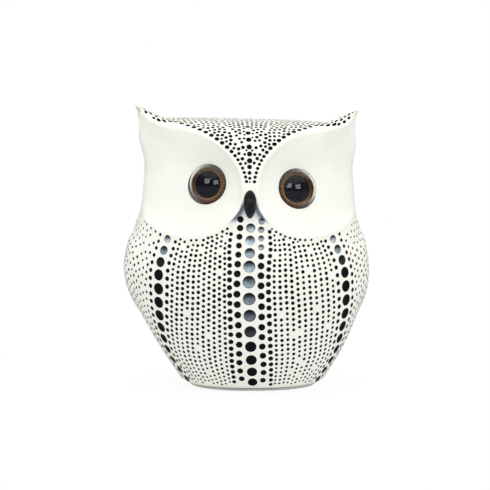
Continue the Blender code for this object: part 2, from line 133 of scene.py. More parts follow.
PUPIL_RAISE = 0.05
PUPIL_BULGE = 0.15

# dots, in millimetres and degrees: each column's lowest and highest dot, and (height, value)
# pairs for its place, its dots' sizes and their pitch
CENTRE_X = ((4, -0.55), (14, -0.95), (25, -0.65), (38, -0.15), (50, 0.35), (66, 0.45))
CENTRE_SIZE = ((4, 3.7), (13, 4.2), (24, 4.6), (36, 4.9), (48, 4.8), (56, 3.9), (66, 3.6))
CENTRE_PITCH = ((4, 4.6), (13, 5.4), (24, 6.3), (36, 6.6), (44, 6.4), (52, 5.2), (66, 4.6))
CENTRE_SPAN = (2.6, 66.2)
SECOND_OFFSET = ((4, 3.9), (10, 4.6), (22, 4.4), (36, 4.65), (52, 4.45), (66, 4.0))
SECOND_SIZE = ((3, 2.2), (20, 2.6), (48, 2.7), (58, 2.3), (66, 2.6))
SECOND_PITCH = ((3, 3.4), (15, 3.8), (35, 4.1), (50, 3.7), (66, 3.2))
SECOND_SPAN = (3.0, 69.0)
THIRD_OFFSET = ((3, 7.0), (12, 7.5), (30, 7.5), (50, 7.5), (57, 7.9), (66, 7.0))
THIRD_SIZE = ((3, 1.6), (15, 1.9), (42, 2.05), (56, 1.7), (66, 1.5))
THIRD_PITCH = ((3, 2.2), (15, 2.6), (25, 3.1), (42, 3.0), (56, 2.4), (66, 2.2))
THIRD_SPAN = (3.0, 66.0)
FLANK_TURN = {-1: ((4, 61.5), (9, 65.0), (14, 65.0), (20, 62.0), (30, 56.5), (40, 53.0),
                   (50, 52.0), (60, 50.0)),
              1: ((4, 59.5), (9, 62.5), (14, 64.0), (20, 62.0), (30, 60.0), (40, 58.3),
                  (50, 57.0), (60, 52.0))}
FLANK_SIZE = ((4, 3.3), (12, 3.7), (22, 4.2), (40, 4.6), (50, 4.0), (60, 3.0))
FLANK_PITCH = ((4, 4.4), (12, 4.9), (22, 5.4), (40, 5.6), (50, 4.9), (60, 4.4))
FLANK_SPAN = {-1: (3.0, 61.5), 1: (3.0, 61.2)}
BESIDE_FLANK_SIZE = ((3, 1.4), (20, 1.75), (45, 1.8), (60, 1.4))
BESIDE_FLANK_PITCH = ((3, 2.6), (20, 3.0), (45, 3.1), (60, 2.6))
BESIDE_FLANK_TURN = 5.3
BEFORE_FLANK_SPAN = (2.8, 62.0)
BEHIND_FLANK_SPAN = (2.8, 63.0)
SMALL_COLUMNS = 11
SMALL_SIZE = ((3, 0.95), (14, 1.25), (35, 1.42), (52, 1.3), (62, 1.1))
SMALL_PITCH = ((3, 1.7), (14, 1.95), (35, 2.15), (52, 2.0), (62, 1.85))
SMALL_SPAN = (2.8, 64.5)
BROW_ROW = {"gap": 1.35, "size": 1.9, "pitch": 2.3}
CHIN_ROW = {"gap": 1.3, "size": 1.1, "pitch": 2.0}
FOREHEAD_COLUMN = ((101.9, 1.9), (99.9, 2.1), (97.6, 2.15), (95.0, 2.15), (92.4, 2.1), (89.9, 2.1),
                   (87.6, 1.9), (85.4, 1.6), (83.4, 1.3), (82.0, 0.8))
FOREHEAD_X = ((82.0, -0.2), (86.0, -0.3), (92.0, 0.1), (102.0, 0.45))
BACK_OFFSET = 4.7
BACK_SPAN = (3.0, 79.0)
# share of painted reflection of the light above in the dots, as (height, share) pairs
CENTRE_PAINTED_REFLECTION = ((20, 0.0), (27, 0.1), (34, 0.38), (44, 0.55), (56, 0.8), (60, 1.0))
FLANK_PAINTED_REFLECTION = ((50, 0.0), (53.5, 0.15), (57, 0.8), (60, 1.0))
SMALL_DOTS_LEFT_OUT = 0.035
DOT_DEPTH_SHARE = 0.2
DOT_CLEARANCE = 0.22
DOT_SHRINK = 0.72             # a dot with less room than this share of its size is left out
GROWN_STEP = 0.42             # spacing of the places that the grown dots are chosen from
GROWN_FROM_DISC = 1.2
GROWN_FROM_FLANK = 1.3        # in turns between the flank column and the one beside it
GROWN_CELL = 3.2              # wider than the widest spacing of the grown dots
DOT_CELL = 5.2                # wider than any two touching dots are apart
BEAK_CLEAR_Z = (64.5, 81.0)   # no small dots beside the beak, here and this far sideways
BEAK_CLEAR_X = 8.0
BEAK_CLEAR_SIZE = 2.2

# navy painted shade in the recesses along the discs' rims beside the beak, and rubbed ear tips, in
# millimetres: where each grows or fades
RECESS_SHADE_OUTER_EDGE = (-3.4, -0.3)
RECESS_SHADE_INNER_EDGE = (-0.1, 0.35)
RECESS_SHADE_FOOT_Z = (65.5, 68.5)
RECESS_SHADE_TOP_Z = (72.5, 76.0)
RECESS_SHADE_START_X = (0.8, 2.2)
RECESS_SHADE_END_X = (8.0, 10.5)
RUBBED_Z = (104.0, 109.0)

# meshes, in millimetres
MESH_SPACING = 0.9
MESH_CLEARANCE = 0.33         # from the scattered points to the edges of dots, sockets and rims
MESH_REACH = 0.994            # share of the flat map's radius that the scattered points cover
RIM_SPACING = 0.45
SOCKET_SEGMENTS = 72
SOCKET_FLOOR = -2.6
SEAT_GAP = 0.3
SEAT_DEPTH = 1.5
FELT_PROFILE = ((0.55, 0.0), (0.985, 0.0), (1.0, 0.25), (1.0, 0.75), (0.985, 1.0), (0.55, 1.0))
FELT_FUZZ = 0.0018
FELT_WAVES = 23
EYE_SEGMENTS = 96
SKIN_EDGE_SEGMENTS = 260
BASE_SEGMENTS = 160
FELT_SEGMENTS = 120
SEED = 11

# the casting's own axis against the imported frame, from the stopper that is centred on it
STOPPER_LOW, STOPPER_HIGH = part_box("base_stopper")
SHIFT = np.array(((STOPPER_LOW.x + STOPPER_HIGH.x) / 2 - SIDE_LEAN[0][1] * MM,
                  (STOPPER_LOW.y + STOPPER_HIGH.y) / 2, 0.0))


# ---------------------------------------------------------------- shape of the casting

def smooth_value(pairs, x):
    """Height of a smooth curve through (x, value) pairs, with Catmull-Rom tangents."""
    at, value = np.array(pairs, dtype=float).T
    slope = np.empty(len(at))
    slope[1:-1] = (value[2:] - value[:-2]) / (at[2:] - at[:-2])
    slope[0] = (value[1] - value[0]) / (at[1] - at[0])
    slope[-1] = (value[-1] - value[-2]) / (at[-1] - at[-2])
    x = np.clip(x, at[0], at[-1])
    i = np.clip(np.searchsorted(at, x, side="right") - 1, 0, len(at) - 2)
    span = at[i + 1] - at[i]
    t = (x - at[i]) / span
    return ((2 * t ** 3 - 3 * t ** 2 + 1) * value[i] + (t ** 3 - 2 * t ** 2 + t) * slope[i] * span
            + (3 * t ** 2 - 2 * t ** 3) * value[i + 1] + (t ** 3 - t ** 2) * slope[i + 1] * span)


def smoothstep(low, high, x):
    t = np.clip((x - low) / (high - low), 0.0, 1.0)
    return t * t * (3 - 2 * t)


def unit(vectors):
    """Vectors with the same directions and a length of 1."""
    return vectors / np.linalg.norm(vectors, axis=1, keepdims=True)


def gaps(points):
    """Distances from each point to the next."""
    return np.linalg.norm(np.diff(points, axis=0), axis=-1)


def angles_round(count):
    """Even angles once round, in radians."""
    return np.arange(count) * 2 * pi / count


def closed_curve(points, steps):
    """Points of a closed Catmull-Rom curve through the given pairs."""
    a, b, c, d = (np.roll(np.array(points), -k, axis=0)[:, None, :] for k in (-1, 0, 1, 2))
    t = np.linspace(0, 1, steps, endpoint=False)[None, :, None]
    curve = 0.5 * (2 * b + (c - a) * t + (2 * a - 5 * b + 4 * c - d) * t * t
                   + (3 * b - a - 3 * c + d) * t ** 3)
    return curve.reshape(-1, 2)


DISC_CURVE = closed_curve(DISC_OUTLINE, 10)


def disc_distance(x, z):
    """Distance from the disc's outline in front view, positive inside it."""
    start, end = DISC_CURVE, np.roll(DISC_CURVE, -1, axis=0)
    along = end - start
    result = np.empty(len(x))
    for low in range(0, len(x), 10000):
        px, pz = np.abs(x[low:low + 10000, None]), z[low:low + 10000, None]
        t = ((px - start[:, 0]) * along[:, 0] + (pz - start[:, 1]) * along[:, 1])
        t = np.clip(t / (along ** 2).sum(1), 0.0, 1.0)
        gap = np.hypot(px - start[:, 0] - t * along[:, 0], pz - start[:, 1] - t * along[:, 1])
        with np.errstate(divide="ignore", invalid="ignore"):
            crossing = start[:, 0] + (pz - start[:, 1]) * along[:, 0] / along[:, 1]
        crossed = ((start[:, 1] > pz) != (end[:, 1] > pz)) & (px < crossing)
        inside = crossed.sum(1) % 2 == 1
        result[low:low + 10000] = np.where(inside, 1, -1) * gap.min(1)
    return result


def even_distance(x, z):
    """Distance from the disc's outline without creases: it counts the outline all round."""
    length = np.linalg.norm(np.roll(DISC_CURVE, -1, axis=0) - np.roll(DISC_CURVE, 1, axis=0),
                            axis=1) / 2
    result = np.empty(len(x))
    for low in range(0, len(x), 10000):
        across = np.abs(x[low:low + 10000, None]) - DISC_CURVE[:, 0]
        up = z[low:low + 10000, None] - DISC_CURVE[:, 1]
        total = (length / np.maximum(across ** 2 + up ** 2, 0.01) ** 3).sum(1)
        result[low:low + 10000] = (total * 8 / (3 * pi)) ** -0.2
    return result


def crown_factor(z, power):
    t = np.clip((z - CROWN_START_Z) / (CROWN_Z - CROWN_START_Z), 0.0, 1.0)
    return np.clip(1.0 - t ** power, 0.0, None) ** (1.0 / power)


def section_sizes(z):
    """Half width, front depth and back depth of the plain body at height z."""
    low = np.clip((BASE_Z + BASE_ROUNDING - z) / BASE_ROUNDING, 0.0, 1.0)
    rounding = BASE_ROUNDING * (1 - np.sqrt(1 - low ** 2))
    half_width = smooth_value(HALF_WIDTH, z) * WIDTH_TRIM
    return (half_width * crown_factor(z, SIDE_CROWN_POWER) - rounding,
            smooth_value(FRONT_DEPTH, z) * crown_factor(z, FRONT_CROWN_POWER) - rounding,
            smooth_value(BACK_DEPTH, z) * crown_factor(z, BACK_CROWN_POWER) - rounding)


def fill_of_section(x, y, z):
    """Superellipse measure of a point in the section at its height: 1 on the outline."""
    half, front, back = section_sizes(z)
    depth = np.where(y < 0, front, back)
    return ((np.abs(x) / np.maximum(half, 1e-6)) ** SECTION_POWER
            + (np.abs(y) / np.maximum(depth, 1e-6)) ** SECTION_POWER)


def radius_at(turn, z):
    """Distance from the axis to the plain surface, at a turn from the front and a height."""
    return fill_of_section(np.sin(turn), -np.cos(turn), z) ** (-1 / SECTION_POWER)


def plain_points(turn, row):
    """Points of the plain body: rows 0 to 1 cover the crown, rows 1 to 2 go down to the base."""
    turn, row = np.broadcast_arrays(turn, row)
    points = np.empty(turn.shape + (3,))
    below = row >= 1
    z = CROWN_START_Z + (BASE_Z - CROWN_START_Z) * (row[below] - 1)
    rho = radius_at(turn[below], z)
    points[below] = np.stack((rho * np.sin(turn[below]), -rho * np.cos(turn[below]), z), -1)
    above = ~below
    angle, polar = turn[above], row[above] * pi / 2
    edge = radius_at(angle, CROWN_START_Z) * np.sin(polar)
    ray = np.stack((edge * np.sin(angle), -edge * np.cos(angle),
                    (CROWN_Z - CROWN_START_Z) * np.cos(polar)), -1)
    inner = np.zeros(len(angle))
    outer = np.full(len(angle), 1.5)
    for _ in range(30):
        scale = (inner + outer) / 2
        x, y, up = (ray * scale[:, None]).T
        inside = (fill_of_section(x, y, CROWN_START_Z + up) < 1) & (CROWN_START_Z + up < CROWN_Z)
        inner, outer = np.where(inside, scale, inner), np.where(inside, outer, scale)
    points[above] = ray * inner[:, None] + (0.0, 0.0, CROWN_START_Z)
    return points


def depth_beside(x, half, depth):
    """How deep a section of the given half width and depth is at a sideways distance x."""
    return depth * np.clip(1 - (np.abs(x) / half) ** SECTION_POWER, 0, None) ** (1 / SECTION_POWER)


def plain_front(x, z):
    """Points of the plain front surface straight behind (x, z) in front view."""
    half, front, _ = section_sizes(z)
    return np.stack((x, -depth_beside(x, half, front), z), -1)


def section_point(angle, z):
    half, front, _ = section_sizes(z)
    power = 2.0 / SECTION_POWER
    return np.array((half * sin(angle) ** power, -front * cos(angle) ** power, z))


EAR_ROOT = section_point(EAR_ROOT_ANGLE, EAR_ROOT_Z)


def ear_pull(points):
    """Points moved by the sweep of the ear tuft on their side."""
    mirror = np.where(points[:, :1] > 0, 1.0, -1.0) * (1, 0, 0) + (0, 1, 1)
    offset = (points - EAR_ROOT * mirror) * EAR_STRETCH
    reach = np.clip(1 - np.linalg.norm(offset, axis=1) / EAR_REACH, 0.0, None)
    return points + (np.array(EAR_TIP) - EAR_ROOT) * mirror * reach[:, None] ** 2


def disc_relief(points):
    """Height of the face's relief: the disc's rim above and its dish below the surface."""
    relief = np.zeros(len(points))
    near = (points[:, 1] < 4) & (points[:, 2] > FACE_LOW_Z)
    x, y, z = points[near].T
    distance = disc_distance(x, z)
    height = RIM_HEIGHT * np.exp(-(distance / RIM_WIDTH) ** 2)
    inner = smoothstep(*DISC_BLEND, distance)
    into = np.clip(distance, 0, None) * (1 - inner) + even_distance(x, z) * inner
    into = np.sqrt(into ** 2 + RIM_ROUNDING ** 2) - RIM_ROUNDING
    brow = 0.62 + 0.38 * smoothstep(62, 92, z)
    height -= DISC_DEPTH * brow * (1 - (1 - np.clip(into / DISC_SLOPE_WIDTH, 0, 1)) ** 2)
    relief[near] = height * (1 - smoothstep(-4, 4, y))
    return relief


def wing_height(points):
    """Height of the wing's low relief above the flank."""
    x, y, z = points.T
    half, front, back = section_sizes(z)
    side = (np.abs(x) / np.maximum(half, 1e-6)) ** (SECTION_POWER / 2)
    ahead = (np.abs(y) / np.maximum(np.where(y < 0, front, back), 1e-6)) ** (SECTION_POWER / 2)
    degrees = np.degrees(np.arctan2(side, np.where(y < 0, ahead, -ahead)))
    along = (WING_SHOULDER[1] - z) / (WING_SHOULDER[1] - WING_TIP[1])
    inside = (along > 0) & (along < 1)
    along = np.clip(along, 0, 1)
    middle = WING_SHOULDER[0] + (WING_TIP[0] - WING_SHOULDER[0]) * along
    width = WING_HALF_WIDTH * (1 - along ** 2.2) ** 0.8 * smoothstep(-0.05, 0.22, along)
    return WING_RAISE * smoothstep(0.0, 18.0, width - np.abs(degrees - middle)) * inside


def finish(points):
    """Plain points with the wings, ears, facial discs, beak's hollow, tilt and lean."""
    height = points[:, 2].copy()
    flat = points * (1.0, 1.0, 0.0)
    length = np.maximum(np.linalg.norm(flat, axis=1, keepdims=True), 1e-9)
    points = points + flat / length * wing_height(points)[:, None]
    points = ear_pull(points)
    side = np.where(points[:, 0] > 0, DISC_TOE_OUT, -DISC_TOE_OUT)
    facing = unit(np.stack((side, np.full(len(side), -1.0), np.full(len(side), 0.1)), -1))
    points = points + facing * disc_relief(points)[:, None]
    x, y, z = points.T
    wide, tall = BEAK_HOLLOW_SIZE
    hollow = BEAK_HOLLOW * np.exp(-(x / wide) ** 4 - ((z - BEAK_HOLLOW_Z) / tall) ** 2)
    y = y + np.where(y < 0, hollow, 0.0)
    z = z - FACE_TILT * x * smoothstep(58, 78, z)
    return np.stack((x + smooth_value(SIDE_LEAN, height), y, z), -1)


# ---------------------------------------------------------------- flat map of the surface

MAP_ROWS = np.linspace(0, 2, 1601)


def map_radii():
    """Radius in the flat map of each row, which keeps small shapes nearly undistorted."""
    turns = np.linspace(-pi, pi, 48, endpoint=False)
    grid = plain_points(turns[None, :], MAP_ROWS[1:, None])
    rho = np.hypot(grid[..., 0], grid[..., 1]).mean(1)
    growth = np.cumsum(gaps(grid).mean(1) * 2 / (rho[1:] + rho[:-1]))
    return np.concatenate(([0.0], rho[:1], rho[0] * np.exp(growth)))


MAP_RADII = map_radii()


def plain_surface(places):
    """Points of the plain body at places in the flat map."""
    radius = np.hypot(places[:, 0], places[:, 1])
    turn = np.arctan2(places[:, 0], -places[:, 1])
    return plain_points(turn, np.interp(radius, MAP_RADII, MAP_ROWS))


def surface(places):
    """Points of the finished surface at places in the flat map."""
    return finish(plain_surface(places))


def places_at(turn, row):
    radius = np.interp(row, MAP_ROWS, MAP_RADII)
    return np.stack((radius * np.sin(turn), -radius * np.cos(turn)), -1)


def base_ring(count):
    """Turns and places of points round the lower edge of the body."""
    turn = np.linspace(-pi, pi, count, endpoint=False)
    return turn, places_at(turn, np.full(count, 2.0))


def row_of_height(z):
    return 1 + (CROWN_START_Z - z) / (CROWN_START_Z - BASE_Z)


def places_of(points):
    """Places in the flat map of points of the plain surface."""
    x, y, z = points.T
    turn = np.arctan2(x, -y)
    edge = radius_at(turn, CROWN_START_Z)
    polar = np.arctan2(np.hypot(x, y) / edge, (z - CROWN_START_Z) / (CROWN_Z - CROWN_START_Z))
    return places_at(turn, np.where(z > CROWN_START_Z, polar * 2 / pi, row_of_height(z)))


def slopes(measure, places):
    """Change of a measure per step in each direction of the flat map."""
    step = 1e-3 * (0.5 + np.hypot(places[:, 0], places[:, 1]))[:, None]
    return np.stack([(measure(places + step * way) - measure(places - step * way)) / (2 * step)
                     for way in ((1.0, 0.0), (0.0, 1.0))], -1)


def solve_places(measure, targets, places):
    """Places where a pair of measures meets its targets, and how far off each one stays."""
    for _ in range(25):
        rise = slopes(measure, places)
        size = np.linalg.det(rise)
        rise[np.abs(size) < 1e-9] += np.eye(2) * 1e-3
        move = np.linalg.solve(rise, (targets - measure(places))[..., None])[..., 0]
        length = np.linalg.norm(move, axis=1, keepdims=True)
        most = 0.04 * (1 + np.linalg.norm(places, axis=1, keepdims=True))
        places = places + move * np.minimum(1.0, most / np.maximum(length, 1e-12))
    return places, np.linalg.norm(measure(places) - targets, axis=1)


# ---------------------------------------------------------------- eyes

def eye_frame(prefix):
    """Turn and place of an eye: its Z looks out of the socket, z=0 is the back of the iris."""
    axis = Vector((sin(EYE_TURN[prefix]) * cos(EYE_PITCH_UP),
                   -cos(EYE_TURN[prefix]) * cos(EYE_PITCH_UP), sin(EYE_PITCH_UP)))
    x, z = EYE_PLACES[prefix]
    seat = finish(plain_front(np.array([x]), np.array([z])))[0]
    turn = axis.to_track_quat("Z", "Y").to_matrix()
    return np.array(turn), seat - np.array(axis) * EYE_SINK


EYES = {prefix: eye_frame(prefix) for prefix in EYE_PLACES}


def socket_edge(prefix):
    """Places in the flat map of an eye socket's edge."""
    turn, origin = EYES[prefix]
    count = SOCKET_SEGMENTS
    angles = angles_round(count)
    radius = EYE_RADIUS + EYE_SOCKET_GAP
    targets = radius * np.stack((np.cos(angles), np.sin(angles)), -1)
    x, z = EYE_PLACES[prefix]
    start = places_of(plain_front(np.full(count, x), np.full(count, z)))
    return solve_places(lambda places: ((surface(places) - origin) @ turn)[:, :2],
                        targets, start)[0]


# ---------------------------------------------------------------- painted dots

rng = np.random.default_rng(SEED)


def column(turn_at, span, pitch, size, phase):
    """Dots down a column: turn_at gives its turn at each height, in radians."""
    low, high = span
    z = np.linspace(high, low, 600)
    points = plain_points(turn_at(z), row_of_height(z))
    count = np.concatenate(([0.0], np.cumsum(gaps(points) / smooth_value(pitch, z[1:]))))
    marks = np.arange(phase, count[-1], 1.0)
    height = np.interp(marks, count, z)
    places = places_at(turn_at(height), row_of_height(height))
    return places, smooth_value(size, height)


def turn_of_x(x, z, back=False):
    """Turn of the plain surface's point at a sideways distance x and height z."""
    half, front, rear = section_sizes(z)
    return np.arctan2(x, -depth_beside(x, half, rear if back else -front))


def belly_dots():
    """The columns of the belly and flanks, from the middle outwards."""
    middle = column(lambda z: turn_of_x(smooth_value(CENTRE_X, z), z), CENTRE_SPAN, CENTRE_PITCH,
                    CENTRE_SIZE, 0.36)
    return [middle, *side_columns(-1), *side_columns(1)]


def side_columns(side):
    """The columns of one side of the belly and of its flank."""
    def second(z):
        return turn_of_x(smooth_value(CENTRE_X, z) + side * smooth_value(SECOND_OFFSET, z), z)

    def third(z):
        return turn_of_x(smooth_value(CENTRE_X, z) + side * smooth_value(THIRD_OFFSET, z), z)

    def flank(z, beside=0.0):
        return side * np.radians(smooth_value(FLANK_TURN[side], z)) + side * beside

    beside = radians(BESIDE_FLANK_TURN)
    found = [column(second, SECOND_SPAN, SECOND_PITCH, SECOND_SIZE, 0.5 + 0.1 * side),
             column(third, THIRD_SPAN, THIRD_PITCH, THIRD_SIZE, 0.5 - 0.2 * side),
             column(flank, FLANK_SPAN[side], FLANK_PITCH, FLANK_SIZE, 0.45)]
    for turn, span, phase in ((-beside, BEFORE_FLANK_SPAN, 0.3), (beside, BEHIND_FLANK_SPAN, 0.8)):
        found.append(column(lambda z: flank(z, turn), span, BESIDE_FLANK_PITCH,
                            BESIDE_FLANK_SIZE, phase))
    for share in np.arange(1, SMALL_COLUMNS + 1) / (SMALL_COLUMNS + 1):
        places, size = column(lambda z: third(z) * (1 - share) + flank(z, -beside) * share,
                              SMALL_SPAN, SMALL_PITCH, SMALL_SIZE, rng.random())
        kept = rng.random(len(size)) > SMALL_DOTS_LEFT_OUT
        found.append((places[kept], size[kept] * rng.uniform(0.86, 1.1, kept.sum())))
    return found


def rim_places(spacing):
    """For each disc: its outline's points, their places in the flat map and how far off each is."""
    curve = np.concatenate((DISC_CURVE, DISC_CURVE[:1]))
    run = np.concatenate(([0.0], np.cumsum(gaps(curve))))
    marks = np.linspace(0, run[-1], int(run[-1] / spacing), endpoint=False)
    outline = np.stack([np.interp(marks, run, curve[:, i]) for i in (0, 1)], -1)
    found = []
    for side in (-1.0, 1.0):
        targets = outline * (side, 1.0)
        found.append((targets, *places_in_face(targets)))
    return found


def places_in_face(targets):
    """Places whose points, with the ears drawn out, lie behind (x, z) pairs in front view."""
    z = np.minimum(targets[:, 1], CROWN_Z - 2.0)
    reach = 0.985 * section_sizes(z)[0]
    start = places_of(plain_front(np.clip(targets[:, 0], -reach, reach), z))
    return solve_places(lambda places: ear_pull(plain_surface(places))[:, (0, 2)], targets, start)


def brow_dots(rims):
    """A row of dots along the brow and another along the chin of each disc, outside its rim."""
    found = []
    for outline, _, _ in rims:
        middle = DISC_CURVE.mean(0) * (np.sign(outline[0, 0]), 1)
        along = np.roll(outline, -1, axis=0) - np.roll(outline, 1, axis=0)
        away = unit(np.stack((along[:, 1], -along[:, 0]), -1))
        away *= np.sign(((outline - middle) * away).sum(1))[:, None]
        x, z = np.abs(outline[:, 0]), outline[:, 1]
        brow = (x < 39.5) & (z > 81)
        line = outline[brow] + away[brow] * BROW_ROW["gap"]
        line = line[np.argsort(np.abs(line[:, 0]))]
        found.append(dots_along(line, 0.75 + 0.25 * smoothstep(4.0, 9.0, np.abs(line[:, 0])),
                                BROW_ROW))
        chin = (x < 39) & (x > 7) & (z < 68)
        line = outline[chin] + away[chin] * CHIN_ROW["gap"]
        line = line[np.argsort(line[:, 0])]
        found.append(dots_along(line, np.ones(len(line)), CHIN_ROW))
    return found


def dots_along(line, wide, row):
    """Dots along a line of (x, z) points; wide scales the row's size and pitch at each point."""
    run = np.cumsum(np.concatenate(([0.0], gaps(line))) / (row["pitch"] * wide))
    marks = np.arange(0.4, run[-1], 1.0)
    spots = np.stack([np.interp(marks, run, line[:, i]) for i in (0, 1)], -1)
    places, error = places_in_face(spots)
    good = error < 0.05
    return places[good], row["size"] * np.interp(marks, run, wide)[good]


def forehead_dots():
    """The middle column of the forehead."""
    z, size = np.array(FOREHEAD_COLUMN).T
    x = np.interp(z, *zip(*FOREHEAD_X))
    return places_in_face(np.stack((x, z), -1))[0], size


def back_dots():
    """Three columns down the middle of the back."""
    found = []
    for offset, size, pitch in ((0.0, CENTRE_SIZE, CENTRE_PITCH),
                                (-BACK_OFFSET, SECOND_SIZE, SECOND_PITCH),
                                (BACK_OFFSET, SECOND_SIZE, SECOND_PITCH)):
        found.append(column(lambda z: turn_of_x(offset, z, back=True), BACK_SPAN, pitch, size, 0.4))
    return found


def point_tree(points):
    """Tree that finds the nearest of some points."""
    tree = KDTree(len(points))
    for i, point in enumerate(points):
        tree.insert(point, i)
    tree.balance()
    return tree


def turns_round(row, spacing, stagger):
    """Turns about one spacing apart round a row of the plain body, and the row's length."""
    around = plain_points(np.linspace(-pi, pi, 25), np.full(25, row))
    length = gaps(around).sum()
    count = max(int(length / spacing), 6)
    turn = (np.arange(count) + 0.5 * stagger) * 2 * pi / count - pi
    return turn, length


class Cells:
    """Points sorted into cubes, to look up the ones near a point."""

    STEPS = [(i, j, k) for i in (-1, 0, 1) for j in (-1, 0, 1) for k in (-1, 0, 1)]

    def __init__(self, size):
        self.size = size
        self.found = {}

    def near(self, point):
        a, b, c = (point // self.size).astype(int)
        return [item for u, v, w in self.STEPS for item in self.found.get((a + u, b + v, c + w), ())]

    def add(self, point, item):
        self.found.setdefault(tuple((point // self.size).astype(int)), []).append(item)


def grown_dots(seeds):
    """Dots that fill the remaining surface outwards from the rows that are there already."""
    found = []
    for i, row in enumerate(np.linspace(0.02, row_of_height(3.4), 330)):
        turn, _ = turns_round(row, GROWN_STEP, i % 2)
        found.append(places_at(turn, np.full(len(turn), row)))
    places = np.concatenate(found)
    points = surface(places)
    x, y, z = points.T
    plain_turn = np.abs(np.degrees(np.arctan2(places[:, 0], -places[:, 1])))
    flank = np.where(x < 0, smooth_value(FLANK_TURN[-1], z), smooth_value(FLANK_TURN[1], z))
    flank += GROWN_FROM_FLANK * BESIDE_FLANK_TURN
    front = (y < 0) & (z > FACE_LOW_Z) & (disc_distance(x, z + FACE_TILT * x) > -GROWN_FROM_DISC)
    belly = (plain_turn < flank) & (z < 66)
    sides = (np.abs(x) > 40.5) & (z > 64) & (y < 1.5)
    open_places = ~front & ~belly & ~sides
    places, points = places[open_places], points[open_places]
    tree = point_tree(seeds)
    away = np.array([tree.find(point)[2] for point in points])
    spacing = grown_spacing(points)
    cells = Cells(GROWN_CELL)
    for seed in seeds:
        cells.add(seed, seed)
    kept = []
    for i in np.argsort(away, kind="stable"):
        near = cells.near(points[i])
        if near and ((np.array(near) - points[i]) ** 2).sum(1).min() < spacing[i] ** 2:
            continue
        cells.add(points[i], points[i])
        kept.append(i)
    return places[kept], grown_size(points[kept]) * rng.uniform(0.88, 1.1, len(kept))


def grown_spacing(points):
    """Spacing of the small dots: closest on the forehead, widest at the sides."""
    _, y, z = points.T
    head = smoothstep(78, 92, z)
    low = 1 - smoothstep(4, 20, z)
    return (2.5 - 0.25 * low) * (1 - head) + head * (1.74 + 0.5 * smoothstep(-16, 15, y))


def grown_size(points):
    """Size of the small dots: large on the forehead, fading out towards the neck's sides."""
    x, y, z = points.T
    head = smoothstep(80, 92, z)
    beside = smoothstep(12, -6, y) * smoothstep(36, 40, np.abs(x)) * (1 - head)
    body = 1.36 - 0.16 * beside - 0.25 * beside * smoothstep(50, 62, z)
    return body * (1 - head) + head * (1.42 - 0.32 * smoothstep(-22, 10, y))


def all_dots(rims):
    """Places and radii of all dots, in millimetres, without any that touch a larger one."""
    rows = [forehead_dots(), *belly_dots(), *back_dots(), *brow_dots(rims)]
    rows.append(grown_dots(surface(np.concatenate([row[0] for row in rows]))))
    places, sizes = (np.concatenate(parts) for parts in zip(*rows))
    points = surface(places)
    x, y, z = points.T
    inside = (y < 2) & (z > FACE_LOW_Z)
    inside &= disc_distance(x, z + FACE_TILT * x) > -sizes / 2 - 0.1
    low, high = BEAK_CLEAR_Z
    beside_beak = (y < 0) & (z > low) & (z < high) & (np.abs(x - BEAK_X) < BEAK_CLEAR_X)
    inside |= beside_beak & (sizes < BEAK_CLEAR_SIZE)
    kept, cells = [], Cells(DOT_CELL)
    for i in np.argsort(-sizes, kind="stable"):
        if inside[i]:
            continue
        near = cells.near(points[i])
        if near:
            gap = np.linalg.norm(points[near] - points[i], axis=1)
            room = 2 * (gap - sizes[near] / 2 - DOT_CLEARANCE).min()
            if room < DOT_SHRINK * sizes[i]:
                continue
            sizes[i] = min(sizes[i], room)
        cells.add(points[i], i)
        kept.append(i)
    return places[kept], sizes[kept] / 2


# ---------------------------------------------------------------- meshes

def add_object(name, data):
    added = bpy.data.objects.new(name, data)
    bpy.context.scene.collection.objects.link(added)
    return added


def new_object(name, verts, faces, material, smooth=60.0):
    """Object from points in millimetres."""
    mesh = bpy.data.meshes.new(name)
    mesh.from_pydata((np.asarray(verts) * MM + SHIFT).tolist(), [], faces)
    mesh.validate()
    mesh.materials.append(material)
    mesh.shade_smooth()
    if smooth:
        mesh.set_sharp_from_angle(angle=radians(smooth))
    return add_object(name, mesh)


def circle_steps(places, radii, count):
    """Steps in the flat map that go once round circles of the given radii on the surface."""
    rise = slopes(surface, places)
    first, second = rise[..., 0], rise[..., 1]
    normal = unit(np.cross(second, first))
    outward = surface(places) - (0, 0, 45)
    normal *= np.sign((normal * outward).sum(1, keepdims=True))
    e1 = unit(first)
    e2 = np.cross(normal, e1)
    angles = angles_round(count)
    ring = (np.cos(angles)[None, :, None] * e1[:, None, :]
            + np.sin(angles)[None, :, None] * e2[:, None, :]) * radii[:, None, None]
    return np.einsum("nij,nkj->nki", np.linalg.pinv(rise), ring), normal


def ring_of(edge, count):
    """Quads between the ring of vertices that starts at number edge and the next ring."""
    return [(edge + k, edge + (k + 1) % count, edge + count + (k + 1) % count, edge + count + k)
            for k in range(count)]


def fan(edge, count, hub):
    """Triangles from a ring of vertices to one vertex in its middle."""
    return [(edge + k, edge + (k + 1) % count, hub) for k in range(count)]


def turned_over(faces):
    """Faces that look the other way."""
    return [face[::-1] for face in faces]


def dish_rings(radius):
    """How many segments and inner rings the dish of a dot has."""
    if radius > 1.5:
        return 28, (0.82, 0.55, 0.25)
    if radius > 0.9:
        return 18, (0.75, 0.35)
    return (12, (0.55,)) if radius > 0.72 else (9, ())


def painted_reflection_share(points, radii):
    """Share of painted reflection of the light above in each dot: most in the upper dots of the wide
    columns.
    """
    x, y, z = points.T
    lean = x - smooth_value(CENTRE_X, z) - smooth_value(SIDE_LEAN, z)
    middle = (np.abs(lean) < 1.2) & (radii > 1.4)
    flank = (np.abs(x) > 22) & (radii > 1.3)
    second = (lean > 1.2) & (lean < 6.5) & (radii > 0.95) & (z > 57)
    share = np.where(middle, np.interp(z, *zip(*CENTRE_PAINTED_REFLECTION)), 0.0)
    share = np.where(flank, np.interp(z, *zip(*FLANK_PAINTED_REFLECTION)), share)
    share = np.where(second, 0.8, share)
    return share * (y < 0) * rng.uniform(0.75, 1.0, len(points))


